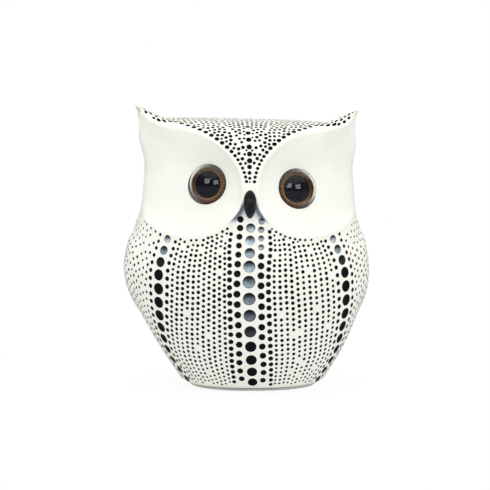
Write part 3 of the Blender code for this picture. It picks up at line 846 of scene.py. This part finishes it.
def dish_geometry(places, radii):
    """Hole rings in the flat map, and vertices and faces of the concave dishes that fill them."""
    reflection_share = painted_reflection_share(surface(places), radii)
    groups = {}
    for i, radius in enumerate(radii):
        groups.setdefault(dish_rings(radius), []).append(i)
    rings, verts, faces, pale, total = [], [], [], [], 0
    for (count, inner), members in groups.items():
        steps, normal = circle_steps(places[members], radii[members], count)
        centre = places[members][:, None, :]
        rings += list(centre + steps)
        depth = radii[members] * DOT_DEPTH_SHARE
        rows = []
        for share in (1.0, *inner):
            layer = surface((centre + steps * share).reshape(-1, 2))
            sunk = (depth * (1 - share ** 2))[:, None, None] * normal[:, None, :]
            rows.append(layer.reshape(len(members), count, 3) - sunk)
        middle = surface(places[members]) - depth[:, None] * normal
        block = np.concatenate([*rows, middle[:, None, :]], axis=1)
        size = block.shape[1]
        last = (len(rows) - 1) * count
        pattern = [face for edge in range(0, last, count) for face in ring_of(edge, count)]
        pattern += fan(last, count, size - 1)
        for dish in range(len(members)):
            faces += [tuple(total + dish * size + k for k in face) for face in pattern]
        verts.append(block.reshape(-1, 3))
        total += size * len(members)
        # painted reflection: palest in the lower part of each dish, which faces up, fading at its
        # edge
        low = (middle[:, None, 2] - block[..., 2]) / radii[members][:, None]
        out = np.repeat((1.0, *inner, 0.0), (*(count,) * len(rows), 1))
        tone = smoothstep(-0.75, 0.5, low) * (1 - 0.75 * smoothstep(0.8, 1.0, out))
        pale.append((tone * reflection_share[members][:, None]).ravel())
    return rings, np.concatenate(verts), faces, np.concatenate(pale)


def background_places(spacing):
    """An even scatter of places over the whole surface."""
    found = [np.zeros((1, 2))]
    row, stagger = 0.0, 0
    while row < 2.0:
        turn, length = turns_round(row + 1e-4, spacing, stagger)
        if row > 0:
            found.append(places_at(turn, np.full(len(turn), row)))
        here = np.interp(row, MAP_ROWS, MAP_RADII)
        step = spacing * 0.87 / max(length / (2 * pi), 1.0)
        row = np.interp(max(here, 0.4) * (1 + step), MAP_RADII, MAP_ROWS)
        stagger = 1 - stagger
        if np.interp(row, MAP_ROWS, MAP_RADII) <= here:
            break
    return np.concatenate(found)


def free_places(rings, fixed):
    """Scattered places, closer on the face and ears, that are clear of dots, sockets and rims."""
    scatter = background_places(MESH_SPACING)
    scatter = scatter[np.hypot(*scatter.T) < MAP_RADII[-1] * MESH_REACH]
    points = surface(scatter)
    face = (points[:, 1] < 2) & (points[:, 2] > 57)
    ears = points[:, 2] > 101
    scatter = np.concatenate((scatter, scatter[face] * 1.011, scatter[ears] * 0.99))
    points = surface(scatter)
    tree = point_tree(surface(fixed))
    clear = np.array([tree.find(point)[2] > MESH_CLEARANCE for point in points])
    scatter, points = scatter[clear], points[clear]
    centres = surface(np.array([ring.mean(0) for ring in rings]))
    radii = np.linalg.norm(surface(np.array([ring[0] for ring in rings])) - centres, axis=1)
    tree = point_tree(centres)
    clear = np.array([all(gap > radii[i] for _, i, gap in tree.find_range(point, 2.6))
                      for point in points])
    scatter, points = scatter[clear], points[clear]
    for turn, origin in EYES.values():
        local = (points - origin) @ turn
        clear = (np.hypot(local[:, 0], local[:, 1]) > EYE_RADIUS + 0.4) | (points[:, 1] > 0)
        scatter, points = scatter[clear], points[clear]
    return scatter


def body_mesh(rings, rims):
    """Triangles of the casting around its dots and eye sockets, with crisp rims on the face."""
    edge_row = base_ring(SKIN_EDGE_SEGMENTS)[1]
    sockets = [socket_edge(prefix) for prefix in EYES]
    loops = [*rings, *sockets, edge_row]
    crests = [places[error < 0.02] for _, places, error in rims]
    scatter = free_places(rings, np.concatenate([*rings, *sockets, *crests]))
    coords, edges, owner = [], [], []
    for number, loop in enumerate(loops):
        start, count = len(owner), len(loop)
        coords.append(loop)
        owner += [number] * count
        edges += [(start + k, start + (k + 1) % count) for k in range(count)]
    owner[-len(edge_row):] = [-1] * len(edge_row)
    coords += [*crests, scatter]
    coords = np.concatenate(coords)
    owner += [-1] * (len(coords) - len(owner))
    result = delaunay_2d_cdt([Vector(place) for place in coords], edges, [], 0, 1e-4)
    flat, triangles, origins = result[0], result[2], result[3]
    owners = [{owner[k] for k in origin} - {-1} for origin in origins]
    faces = [(a, b, c) for a, b, c in triangles if not owners[a] & owners[b] & owners[c]]
    return surface(np.array([tuple(place) for place in flat])), faces


def build_underside(material):
    """The casting's flat underside, from its rounded edge in to the stopper's seat."""
    count = BASE_SEGMENTS
    turn, places = base_ring(count)
    outer = surface(places)
    low, high = (np.array(corner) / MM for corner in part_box("base_stopper"))
    middle = (low + high) / 2 - SHIFT / MM
    radius = (high[0] - low[0]) / 2 + SEAT_GAP
    inner = np.stack((middle[0] + radius * np.sin(turn), middle[1] - radius * np.cos(turn),
                      np.full(count, BASE_Z)), -1)
    seat = inner + (0.0, 0.0, SEAT_DEPTH)
    faces = turned_over(ring_of(0, count) + ring_of(count, count))
    return new_object("body_underside", np.concatenate((outer, inner, seat)), faces, material)


def build_body(material):
    """The casting's skin and the dishes of its dots."""
    rims = rim_places(RIM_SPACING)
    places, radii = all_dots(rims)
    rings, *dishes = dish_geometry(places, radii)
    verts, faces = body_mesh(rings, rims)
    body = new_object("body_skin", verts, faces, material, smooth=0)
    paint_shade_and_wear(body, verts)
    return body, dishes


def paint_shade_and_wear(body, verts):
    """Stores where the blue-black painted shade in the recesses beside the beak and the rubbed ear
    tips are.
    """
    x, y, z = verts.T
    distance = disc_distance(x, z + FACE_TILT * x)
    front = smoothstep(-18, -24, y)
    across = np.abs(x - BEAK_X)
    edge = smoothstep(*RECESS_SHADE_OUTER_EDGE, distance) * (1 - smoothstep(*RECESS_SHADE_INNER_EDGE, distance))
    # painted shade: dark in the recesses beside the beak, under the discs' lower inner rims
    recess_shade = edge * smoothstep(*RECESS_SHADE_FOOT_Z, z) * (1 - smoothstep(*RECESS_SHADE_TOP_Z, z)) * front
    recess_shade = recess_shade * (1 - smoothstep(*RECESS_SHADE_END_X, across)) * smoothstep(*RECESS_SHADE_START_X, across)
    for name, value in (("recess_shade", recess_shade), ("rubbed", smoothstep(*RUBBED_Z, z))):
        body.data.attributes.new(name, "FLOAT", "POINT").data.foreach_set("value", value)


def eye_points(prefix, local):
    """Points of an eye given in its own frame."""
    turn, origin = EYES[prefix]
    return np.asarray(local) @ turn.T + origin


def turned(profile, count):
    """Vertices and faces of a profile of (radius, z) pairs turned about Z, closed at its ends."""
    angles = angles_round(count)
    verts, faces, starts = [], [], []
    for radius, z in profile:
        starts.append(len(verts))
        if radius < 1e-6:
            verts.append((0.0, 0.0, z))
        else:
            verts += [(radius * cos(a), radius * sin(a), z) for a in angles]
    for (r0, _), (r1, _), a, b in zip(profile, profile[1:], starts, starts[1:]):
        for k in range(count):
            n = (k + 1) % count
            if r0 < 1e-6:
                faces.append((a, b + n, b + k))
            elif r1 < 1e-6:
                faces.append((a + k, a + n, b))
            else:
                faces.append((a + k, a + n, b + n, b + k))
    return np.array(verts), faces


def build_socket(prefix, material):
    """The wall of an eye socket, from the face's surface down to its floor."""
    count = SOCKET_SEGMENTS
    edge = surface(socket_edge(prefix))
    turn, origin = EYES[prefix]
    local = (edge - origin) @ turn
    floor = local.copy()
    floor[:, 2] = SOCKET_FLOOR
    hub = np.array([[0.0, 0.0, SOCKET_FLOOR]])
    verts = eye_points(prefix, np.concatenate((local, floor, hub)))
    faces = ring_of(0, count) + fan(count, count, 2 * count)
    return new_object(prefix + "_eye_socket", verts, faces, material, 30)


def dome_arc(radius, base, rise, steps=26):
    """Pairs of radius and height along a round dome, from its edge to its top."""
    ball = (radius ** 2 + rise ** 2) / (2 * rise)
    end = acos((ball - rise) / ball)
    turns = [end * (1 - i / steps) for i in range(steps)]
    return [*((ball * sin(turn), base + rise - ball + ball * cos(turn)) for turn in turns),
            (0.0, base + rise)]


def build_eye(prefix):
    """Dome, iris ring and pupil of one eye."""
    outside = dome_arc(EYE_RADIUS, EYE_LENS_BACK + EYE_DOME_EDGE, EYE_DOME_RISE)
    inside = dome_arc(EYE_RADIUS - EYE_DOME_WALL, EYE_LENS_BACK,
                      EYE_DOME_RISE + EYE_DOME_EDGE - EYE_DOME_WALL)
    dome = [*inside[::-1], (EYE_RADIUS - DOME_BEVEL, EYE_LENS_BACK),
            (EYE_RADIUS, EYE_LENS_BACK + DOME_BEVEL), *outside]
    hole, rim = PUPIL_RADIUS + IRIS_GAP, IRIS_RADIUS + IRIS_OVERLAP
    ring = [(hole, 0.0), (rim, 0.0)]
    ring += [(hole + (rim - hole) * (1 - i / 8),
              IRIS_THICKNESS + IRIS_RAISE - IRIS_DISH * sin(pi * i / 8)) for i in range(9)]
    ring.append(ring[0])
    disc = [(0.0, 0.0), (PUPIL_RADIUS, 0.0)]
    disc += [(PUPIL_RADIUS * (1 - i / 6), IRIS_THICKNESS + PUPIL_RAISE + PUPIL_BULGE * (i / 6))
             for i in range(7)]
    for profile, node, form, material, smooth in (
            (dome, "lens", "dome", clear_dome(), 50),
            (ring, "iris", "iris_ring", copper_iris(prefix), 60),
            (disc, "pupil", "pupil_disc", pupil_gloss(), 60)):
        verts, faces = turned(profile, EYE_SEGMENTS)
        piece = new_object(f"{prefix}_eye_{form}", eye_points(prefix, verts), faces, material, smooth)
        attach(piece, "root")
        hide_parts(f"{prefix}_eye_{node}")


def build_beak(material):
    """Spindle-shaped beak with faint facets down its front."""
    rows, count = 40, 48
    middle_z = (BEAK_TOP_Z + BEAK_TIP_Z) / 2
    half_height = (BEAK_TOP_Z - BEAK_TIP_Z) / 2
    root = finish(plain_front(np.array([BEAK_X]), np.array([middle_z])))[0, 1]
    profile = [(sin(pi * i / rows), cos(pi * i / rows)) for i in range(rows + 1)]
    verts, faces = turned(profile, count)
    sx, sy, sz = verts.T
    angle = np.arctan2(sy, sx)
    girth = BEAK_GIRTH * np.clip((1 + sz) / 2, 0, 1) ** BEAK_TAPER
    ridge = 1 + BEAK_FACET_DEPTH * np.cos(BEAK_FACETS * angle + BEAK_FACET_TURN) * (1 - sz ** 2)
    bow = BEAK_BOW * (1 - sz * sz)
    verts = np.stack((BEAK_X + sx * BEAK_HALF_WIDTH * girth * ridge,
                      root + BEAK_SINK - bow + sy * BEAK_HALF_DEPTH * girth * ridge,
                      middle_z + sz * half_height), -1)
    piece = new_object("beak_spindle", verts, turned_over(faces), material)
    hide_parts("beak")
    return piece


def build_felt(material):
    """The felt pad: a thin round-edged sheet cut to the base."""
    low, high = (np.array(corner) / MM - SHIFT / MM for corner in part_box("base_felt"))
    count = FELT_SEGMENTS
    turn, places = base_ring(count)
    outline = surface(places)[:, :2]
    middle = (low + high)[:2] / 2
    scale = (high - low)[:2] / (outline.max(0) - outline.min(0))
    outline = (outline - (outline.max(0) + outline.min(0)) / 2) * scale + middle
    rings = []
    for share, z in FELT_PROFILE:
        fuzz = 1 + FELT_FUZZ * np.sin(turn * FELT_WAVES) * (share > 0.9)
        flat = middle + (outline - middle) * np.minimum(share * fuzz, 1.0)[:, None]
        rings.append(np.concatenate((flat, np.full((count, 1), z)), axis=1))
    verts = np.concatenate([*rings, [(*middle, 0.0)], [(*middle, 1.0)]])
    top = (len(FELT_PROFILE) - 1) * count
    faces = turned_over(fan(0, count, len(verts) - 2)) + fan(top, count, len(verts) - 1)
    faces += [face for edge in range(0, top, count) for face in ring_of(edge, count)]
    piece = new_object("felt_pad", verts, turned_over(faces), material)
    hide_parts("base_felt")
    x, y = outline.T * MM
    area = abs(np.dot(x, np.roll(y, 1)) - np.dot(y, np.roll(x, 1))) / 2
    width, length = (high - low)[:2] * MM
    return piece, (float(width), float(length)), float(area)


# ---------------------------------------------------------------- materials

class Nodes:
    """A node tree and short ways to add nodes to it."""

    def __init__(self, tree):
        self.tree = tree

    def node(self, kind, inputs=(), **settings):
        """A new node. Its inputs are pairs of a name or number and a value or another's output."""
        made = self.tree.nodes.new(kind)
        for key, value in settings.items():
            setattr(made, key, value)
        for key, value in inputs:
            self.feed(made.inputs[key], value)
        return made

    def feed(self, socket, value):
        if isinstance(value, bpy.types.NodeSocket):
            self.tree.links.new(value, socket)
        elif socket.type == "RGBA":
            socket.default_value = (*value, 1.0)
        else:
            socket.default_value = value

    def ray(self, kind):
        """1 for camera, diffuse, glossy or shadow rays, 0 for others."""
        return self.node("ShaderNodeLightPath").outputs[f"Is {kind} Ray"]

    def remap(self, value, low, high, to_low=0.0, to_high=1.0, smooth=False):
        inputs = (("Value", value), ("From Min", low), ("From Max", high), ("To Min", to_low),
                  ("To Max", to_high))
        kind = "SMOOTHSTEP" if smooth else "LINEAR"
        return self.node("ShaderNodeMapRange", inputs, interpolation_type=kind).outputs["Result"]

    def math(self, operation, *values):
        return self.node("ShaderNodeMath", enumerate(values), operation=operation).outputs[0]

    def vector_math(self, operation, *values):
        made = self.node("ShaderNodeVectorMath", enumerate(values), operation=operation)
        return made.outputs["Value" if operation in ("LENGTH", "DOT_PRODUCT") else "Vector"]

    def split(self, vector):
        return self.node("ShaderNodeSeparateXYZ", [(0, vector)]).outputs

    def mix_shaders(self, share, first, second):
        return self.node("ShaderNodeMixShader", enumerate((share, first, second))).outputs[0]


class Look(Nodes):
    """A Principled material and short ways to add nodes to it."""

    def __init__(self, name, colour, roughness, **settings):
        self.material = bpy.data.materials.new(name)
        self.material.use_nodes = True
        self.material.diffuse_color = (*colour, 1.0)
        super().__init__(self.material.node_tree)
        self.place = self.node("ShaderNodeTexCoord").outputs["Object"]
        self.shader = self.tree.nodes["Principled BSDF"]
        self.set("Base Color", colour)
        self.set("Roughness", roughness)
        for key, value in settings.items():
            self.set(key.replace("_", " "), value)

    def set(self, name, value):
        self.feed(self.shader.inputs[name], value)

    def show(self, shader):
        """Shows another shader than the Principled one."""
        self.tree.links.new(shader, self.tree.nodes["Material Output"].inputs["Surface"])

    def noise(self, scale, detail=3.0, roughness=0.5, place=None):
        inputs = (("Scale", scale), ("Detail", detail), ("Roughness", roughness),
                  ("Vector", place or self.place))
        return self.node("ShaderNodeTexNoise", inputs).outputs["Fac"]

    def ramp(self, source, *stops):
        """Colours or greys at places along a value from 0 to 1."""
        made = self.node("ShaderNodeValToRGB", [("Fac", source)])
        elements = made.color_ramp.elements
        while len(elements) < len(stops):
            elements.new(0.5)
        for element, (at, value) in zip(elements, stops):
            element.position = at
            grey = (value,) * 3 if isinstance(value, float) else value
            element.color = (*grey, 1.0)
        return made.outputs["Color"]

    def mix(self, share, first, second, blend="MIX"):
        made = self.node("ShaderNodeMix", data_type="RGBA", blend_type=blend)
        shown = {socket.name: socket for socket in made.inputs if socket.enabled}
        for name, value in (("Factor", share), ("A", first), ("B", second)):
            self.feed(shown[name], value)
        return [socket for socket in made.outputs if socket.enabled][0]

    def bump(self, height, strength, distance):
        inputs = (("Strength", strength), ("Distance", distance), ("Height", height))
        self.set("Normal", self.node("ShaderNodeBump", inputs).outputs["Normal"])

    def attribute(self, name):
        return self.node("ShaderNodeAttribute", attribute_name=name).outputs["Fac"]


def cream_lacquer():
    """Speckled cream lacquer, rubbed at the ear tips, with blue-black painted shade in the recesses
    beside the beak.
    """
    look = Look("cream_lacquer", (0.93, 0.925, 0.85), 0.42, Coat_Weight=0.25, Coat_Roughness=0.3)
    cloud = look.ramp(look.noise(45.0), (0.35, (0.915, 0.91, 0.83)), (0.7, (0.945, 0.943, 0.875)))
    speck = look.ramp(look.noise(1100.0, 2.0, 0.4), (0.72, 0.0), (0.78, 1.0))
    colour = look.mix(look.mix(0.22, BLACK, speck), cloud, (0.55, 0.53, 0.48))
    rubbed = look.ramp(look.noise(700.0), (0.4, 0.15), (0.6, 0.75))
    tips = look.mix(look.attribute("rubbed"), BLACK, rubbed)
    colour = look.mix(tips, colour, (0.50, 0.49, 0.40))
    # blue-black painted shade in the recesses beside the beak
    recess_shade = look.ramp(look.attribute("recess_shade"), (0.0, WHITE), (0.45, (0.66, 0.72, 0.80)),
                     (1.0, (0.07, 0.10, 0.16)))
    look.set("Base Color", look.mix(1.0, colour, recess_shade, "MULTIPLY"))
    look.set("Roughness", look.ramp(look.noise(160.0), (0.3, 0.34), (0.7, 0.48)))
    look.bump(look.noise(900.0, 4.0), 0.12, 0.0002)
    return look.material


def black_dots():
    """Black paint, with a patchy pale blue painted reflection of the light above in the upper dots.
    """
    look = Look("black_dot_gloss", (0.006, 0.006, 0.009), 0.34, Specular_IOR_Level=0.13)
    black = look.ramp(look.noise(1500.0), (0.3, (0.003, 0.003, 0.005)),
                      (0.75, (0.010, 0.011, 0.015)))
    # patchy pale blue painted reflection of the light above, where the pale attribute says
    patchy = look.ramp(look.noise(900.0, 4.0, 0.7), (0.3, 0.35), (0.62, 1.0))
    share = look.mix(1.0, look.attribute("pale"), patchy, "MULTIPLY")
    look.set("Base Color", look.mix(share, black, (0.72, 0.90, 1.0)))
    look.set("Roughness", look.ramp(look.noise(1300.0, 4.0), (0.35, 0.26), (0.7, 0.5)))
    look.bump(look.noise(1700.0, 4.0), 0.35, 0.00012)
    return look.material


def socket_painted_shadow(prefix):
    """Painted shadow on an eye socket's wall: nearly black at the top, under the brow, and pale grey
    lower down.
    """
    look = Look(f"socket_painted_shadow_{prefix}", (0.2, 0.21, 0.22), 0.5)
    middle = (EYES[prefix][1] * MM + SHIFT)[2]
    up = look.remap(look.split(look.place)["Z"], middle - 0.9 * EYE_RADIUS * MM,
                    middle + 0.7 * EYE_RADIUS * MM)
    # painted shadow: nearly black towards the top under the brow, pale grey lower down
    shade = look.ramp(up, (0.0, (0.50, 0.52, 0.52)), (0.5, (0.15, 0.17, 0.19)),
                      (0.85, (0.012, 0.012, 0.015)))
    streaks = look.ramp(look.noise(500.0), (0.3, 0.6), (0.7, 1.3))
    look.set("Base Color", look.mix(1.0, shade, streaks, "MULTIPLY"))
    return look.material


def clear_dome():
    """Clear plastic that lets lights through to the iris."""
    look = Look("clear_dome", WHITE, 0.02, Transmission_Weight=1.0, IOR=1.45)
    look.set("Roughness", look.ramp(look.noise(300.0), (0.4, 0.035), (0.7, 0.055)))
    clear = look.node("ShaderNodeBsdfTransparent").outputs[0]
    look.show(look.mix_shaders(look.ray("Shadow"), look.shader.outputs[0], clear))
    return look.material


def copper_iris(prefix):
    """Copper paint, streaked outwards, darker at its rim and bright beside the pupil, with painted
    shade that darkens its top and lightens its bottom.
    """
    look = Look(f"copper_iris_{prefix}", (0.30, 0.13, 0.05), 0.4, Metallic=0.4,
                Specular_IOR_Level=0.1)
    turn, origin = EYES[prefix]
    local = look.node("ShaderNodeMapping", [("Vector", look.place), ("Location", origin * MM + SHIFT),
                                            ("Rotation", Matrix(turn.tolist()).to_euler())],
                      vector_type="TEXTURE")
    x, y, _ = look.split(local.outputs["Vector"])
    flat = look.node("ShaderNodeCombineXYZ", [("X", x), ("Y", y)]).outputs[0]
    across = look.remap(look.vector_math("LENGTH", flat), PUPIL_RADIUS * MM,
                        (IRIS_RADIUS + 0.2) * MM)
    streak = look.noise(14.0, 4.0, 0.65, look.vector_math("NORMALIZE", flat))
    bands = look.ramp(across, (0.0, (0.36, 0.17, 0.04)), (0.10, (0.46, 0.22, 0.055)),
                      (0.26, (0.20, 0.075, 0.006)), (0.6, (0.13, 0.045, 0.004)),
                      (0.8, (0.015, 0.009, 0.006)))
    streaked = look.mix(1.0, bands, look.ramp(streak, (0.36, 0.4), (0.66, 1.5)), "MULTIPLY")
    # painted shade from the brow: darker towards the iris's top, lighter towards its bottom
    painted_shade = look.remap(y, -IRIS_RADIUS * MM, IRIS_RADIUS * MM, 1.25, 0.4)
    look.set("Base Color", look.mix(1.0, streaked, painted_shade, "MULTIPLY"))
    look.bump(streak, 0.3, 0.0002)
    return look.material


def pupil_gloss():
    look = Look("pupil_gloss", (0.006, 0.007, 0.012), 0.3, Specular_IOR_Level=0.1)
    look.set("Base Color", look.ramp(look.noise(400.0), (0.3, (0.004, 0.005, 0.011)),
                                     (0.7, (0.009, 0.010, 0.018))))
    look.set("Roughness", look.ramp(look.noise(250.0), (0.3, 0.25), (0.7, 0.4)))
    return look.material


def beak_lacquer():
    """Black lacquer with a grain that runs down the beak."""
    look = Look("beak_lacquer", (0.010, 0.010, 0.012), 0.25, Specular_IOR_Level=0.25)
    stretch = look.node("ShaderNodeMapping", [("Vector", look.place), ("Scale", (1.0, 1.0, 0.16))])
    grain = look.noise(1400.0, 3.0, 0.6, stretch.outputs["Vector"])
    look.set("Base Color", look.ramp(grain, (0.35, (0.008, 0.008, 0.010)),
                                     (0.8, (0.03, 0.03, 0.032))))
    look.set("Roughness", look.ramp(grain, (0.3, 0.22), (0.75, 0.42)))
    look.bump(grain, 0.5, 0.00015)
    return look.material


def matt_plastic(name, colour, roughness):
    look = Look(name, colour, roughness)
    darker = tuple(c * 0.8 for c in colour)
    look.set("Base Color", look.ramp(look.noise(220.0), (0.3, darker), (0.7, colour)))
    look.set("Roughness", look.ramp(look.noise(500.0), (0.3, roughness - 0.08),
                                    (0.7, min(roughness + 0.1, 1.0))))
    look.bump(look.noise(1200.0, 4.0), 0.2, 0.0002)
    return look.material


def grey_felt():
    look = Look("grey_felt", (0.60, 0.59, 0.56), 0.95, Sheen_Weight=0.3)
    fibres = look.noise(2600.0, 6.0, 0.7)
    look.set("Base Color", look.ramp(fibres, (0.3, (0.46, 0.45, 0.42)), (0.75, (0.72, 0.71, 0.68))))
    look.set("Roughness", look.ramp(fibres, (0.3, 0.85), (0.7, 1.0)))
    look.bump(fibres, 0.9, 0.0004)
    return look.material


def carried_over(node, material):
    """Gives a CAD node that stays visible its material."""
    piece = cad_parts[node]
    piece.data.materials.clear()
    piece.data.materials.append(material)


# ---------------------------------------------------------------- stage

# in metres, watts and degrees; angles are an azimuth, 0 being the owl's front, and an elevation
FLOOR_REACH = 4.0
LIGHT_AIM = Vector((0.0, 0.0, 0.075))
SOFTBOX_ANGLES = {"left_softbox": (-25.0, 26.0), "right_softbox": (23.0, 20.0)}
SOFTBOX_DISTANCE = 0.6
SOFTBOX_SIZE = (0.27, 0.24)
SOFTBOX_POWER = 0.52
TOP_SOFTBOX_PLACE = (0.04, -0.05, 0.75)
TOP_SOFTBOX_SIZE = (1.2, 1.2)
TOP_SOFTBOX_POWER = 3.1
CAMERA_ANGLES = (-1.3, 7.0)
CAMERA_AIM = Vector((SHIFT[0] - 0.001, 0.0, 0.054))
CAMERA_DISTANCE = 2.0
CAMERA_LENS = 377.0


def direction(azimuth, elevation):
    """The way from the owl to something at these angles from it."""
    azimuth, elevation = radians(azimuth), radians(elevation)
    return Vector((sin(azimuth) * cos(elevation), -cos(azimuth) * cos(elevation), sin(elevation)))


def add_light(name, place, size, power, mirrored=True):
    """An area light that the camera doesn't see and, unless mirrored, no reflection shows."""
    data = bpy.data.lights.new(name, "AREA")
    data.shape = "RECTANGLE"
    data.size, data.size_y = size
    data.energy = power
    light = add_object(name, data)
    light.visible_camera = False
    light.visible_glossy = mirrored
    light.location = place
    light.rotation_euler = (LIGHT_AIM - Vector(place)).to_track_quat("-Z", "Y").to_euler()


def floor_white():
    """A floor that glows white to the camera, a little greyer at the foot, and dim to gloss."""
    look = Look("floor_white", (0.75, 0.75, 0.75), 0.9)
    look.set("Base Color", look.remap(look.ray("Glossy"), 0.0, 1.0, 0.86, 0.12))
    level = look.remap(look.vector_math("LENGTH", look.place), 0.03, 0.12, 0.9, 1.0, smooth=True)
    bounced = look.math("MULTIPLY", look.ray("Diffuse"), 0.8)
    share = look.math("MULTIPLY_ADD", look.ray("Camera"), level, bounced)
    glow = look.node("ShaderNodeEmission").outputs[0]
    look.show(look.mix_shaders(share, look.shader.outputs[0], glow))
    return look.material


def build_stage():
    """A white floor and surround, two softboxes in front of the owl and a large one above it."""
    mesh = bpy.data.meshes.new("floor")
    grid = bmesh.new()
    bmesh.ops.create_grid(grid, x_segments=2, y_segments=2, size=FLOOR_REACH)
    grid.to_mesh(mesh)
    grid.free()
    mesh.materials.append(floor_white())
    add_object("floor", mesh)
    build_surround()
    for name, angles in SOFTBOX_ANGLES.items():
        place = LIGHT_AIM + direction(*angles) * SOFTBOX_DISTANCE
        add_light(name, place, SOFTBOX_SIZE, SOFTBOX_POWER)
    add_light("top_softbox", TOP_SOFTBOX_PLACE, TOP_SOFTBOX_SIZE, TOP_SOFTBOX_POWER, mirrored=False)


def build_surround():
    """White all round to the camera; to the owl, dim in front and bright above and beside it."""
    world = bpy.data.worlds.new("studio")
    world.use_nodes = True
    bpy.context.scene.world = world
    sky = Nodes(world.node_tree)
    way = sky.node("ShaderNodeTexCoord").outputs["Generated"]
    ahead = sky.vector_math("DOT_PRODUCT", way, (-0.06, -0.98, 0.2))
    level = sky.remap(ahead, 0.55, 0.85, 1.0, 0.04, smooth=True)
    higher = sky.remap(sky.split(way)["Z"], 0.0, 1.0, 0.95, 1.35)
    dimmed = sky.remap(sky.ray("Glossy"), 0.0, 1.0, 1.0, 0.05)
    strength = sky.math("MULTIPLY", sky.math("MULTIPLY", level, higher), dimmed)
    soft = sky.tree.nodes["Background"]
    sky.feed(soft.inputs["Color"], WHITE)
    sky.feed(soft.inputs["Strength"], strength)
    white = sky.node("ShaderNodeBackground", [("Color", WHITE)])
    shown = sky.mix_shaders(sky.ray("Camera"), soft.outputs[0], white.outputs[0])
    sky.tree.links.new(shown, sky.tree.nodes["World Output"].inputs["Surface"])


def build_camera():
    """Camera a little above the owl and a touch left of its middle, far off with a long lens."""
    data = bpy.data.cameras.new("camera")
    data.lens = CAMERA_LENS
    data.sensor_width = 36.0
    camera = add_object("camera", data)
    back = direction(*CAMERA_ANGLES)
    camera.location = CAMERA_AIM + back * CAMERA_DISTANCE
    camera.rotation_euler = back.to_track_quat("Z", "Y").to_euler()
    bpy.context.scene.camera = camera
    bpy.context.scene.view_settings.view_transform = "Standard"


# ---------------------------------------------------------------- the owl

def main():
    lacquer = cream_lacquer()
    body, (dish_verts, dish_faces, pale) = build_body(lacquer)
    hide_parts("body_casting")
    dots = new_object("painted_dots", dish_verts, dish_faces, black_dots(), smooth=0)
    # pale holds the painted reflection of the light above in the upper dots
    dots.data.attributes.new("pale", "FLOAT", "POINT").data.foreach_set("value", pale)
    pieces = [body, dots, build_underside(lacquer)]
    for prefix in EYES:
        pieces.append(build_socket(prefix, socket_painted_shadow(prefix)))
        build_eye(prefix)
        carried_over(f"{prefix}_eye_back",
                     matt_plastic(f"{prefix}_backing", (0.03, 0.026, 0.022), 0.5))
    for piece in pieces:
        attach(piece, "root")
    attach(build_beak(beak_lacquer()), "root")
    carried_over("base_stopper", matt_plastic("stopper_plastic", (0.72, 0.72, 0.70), 0.55))
    felt, flat, area = build_felt(grey_felt())
    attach(felt, "root")
    build_stage()
    build_camera()


main()
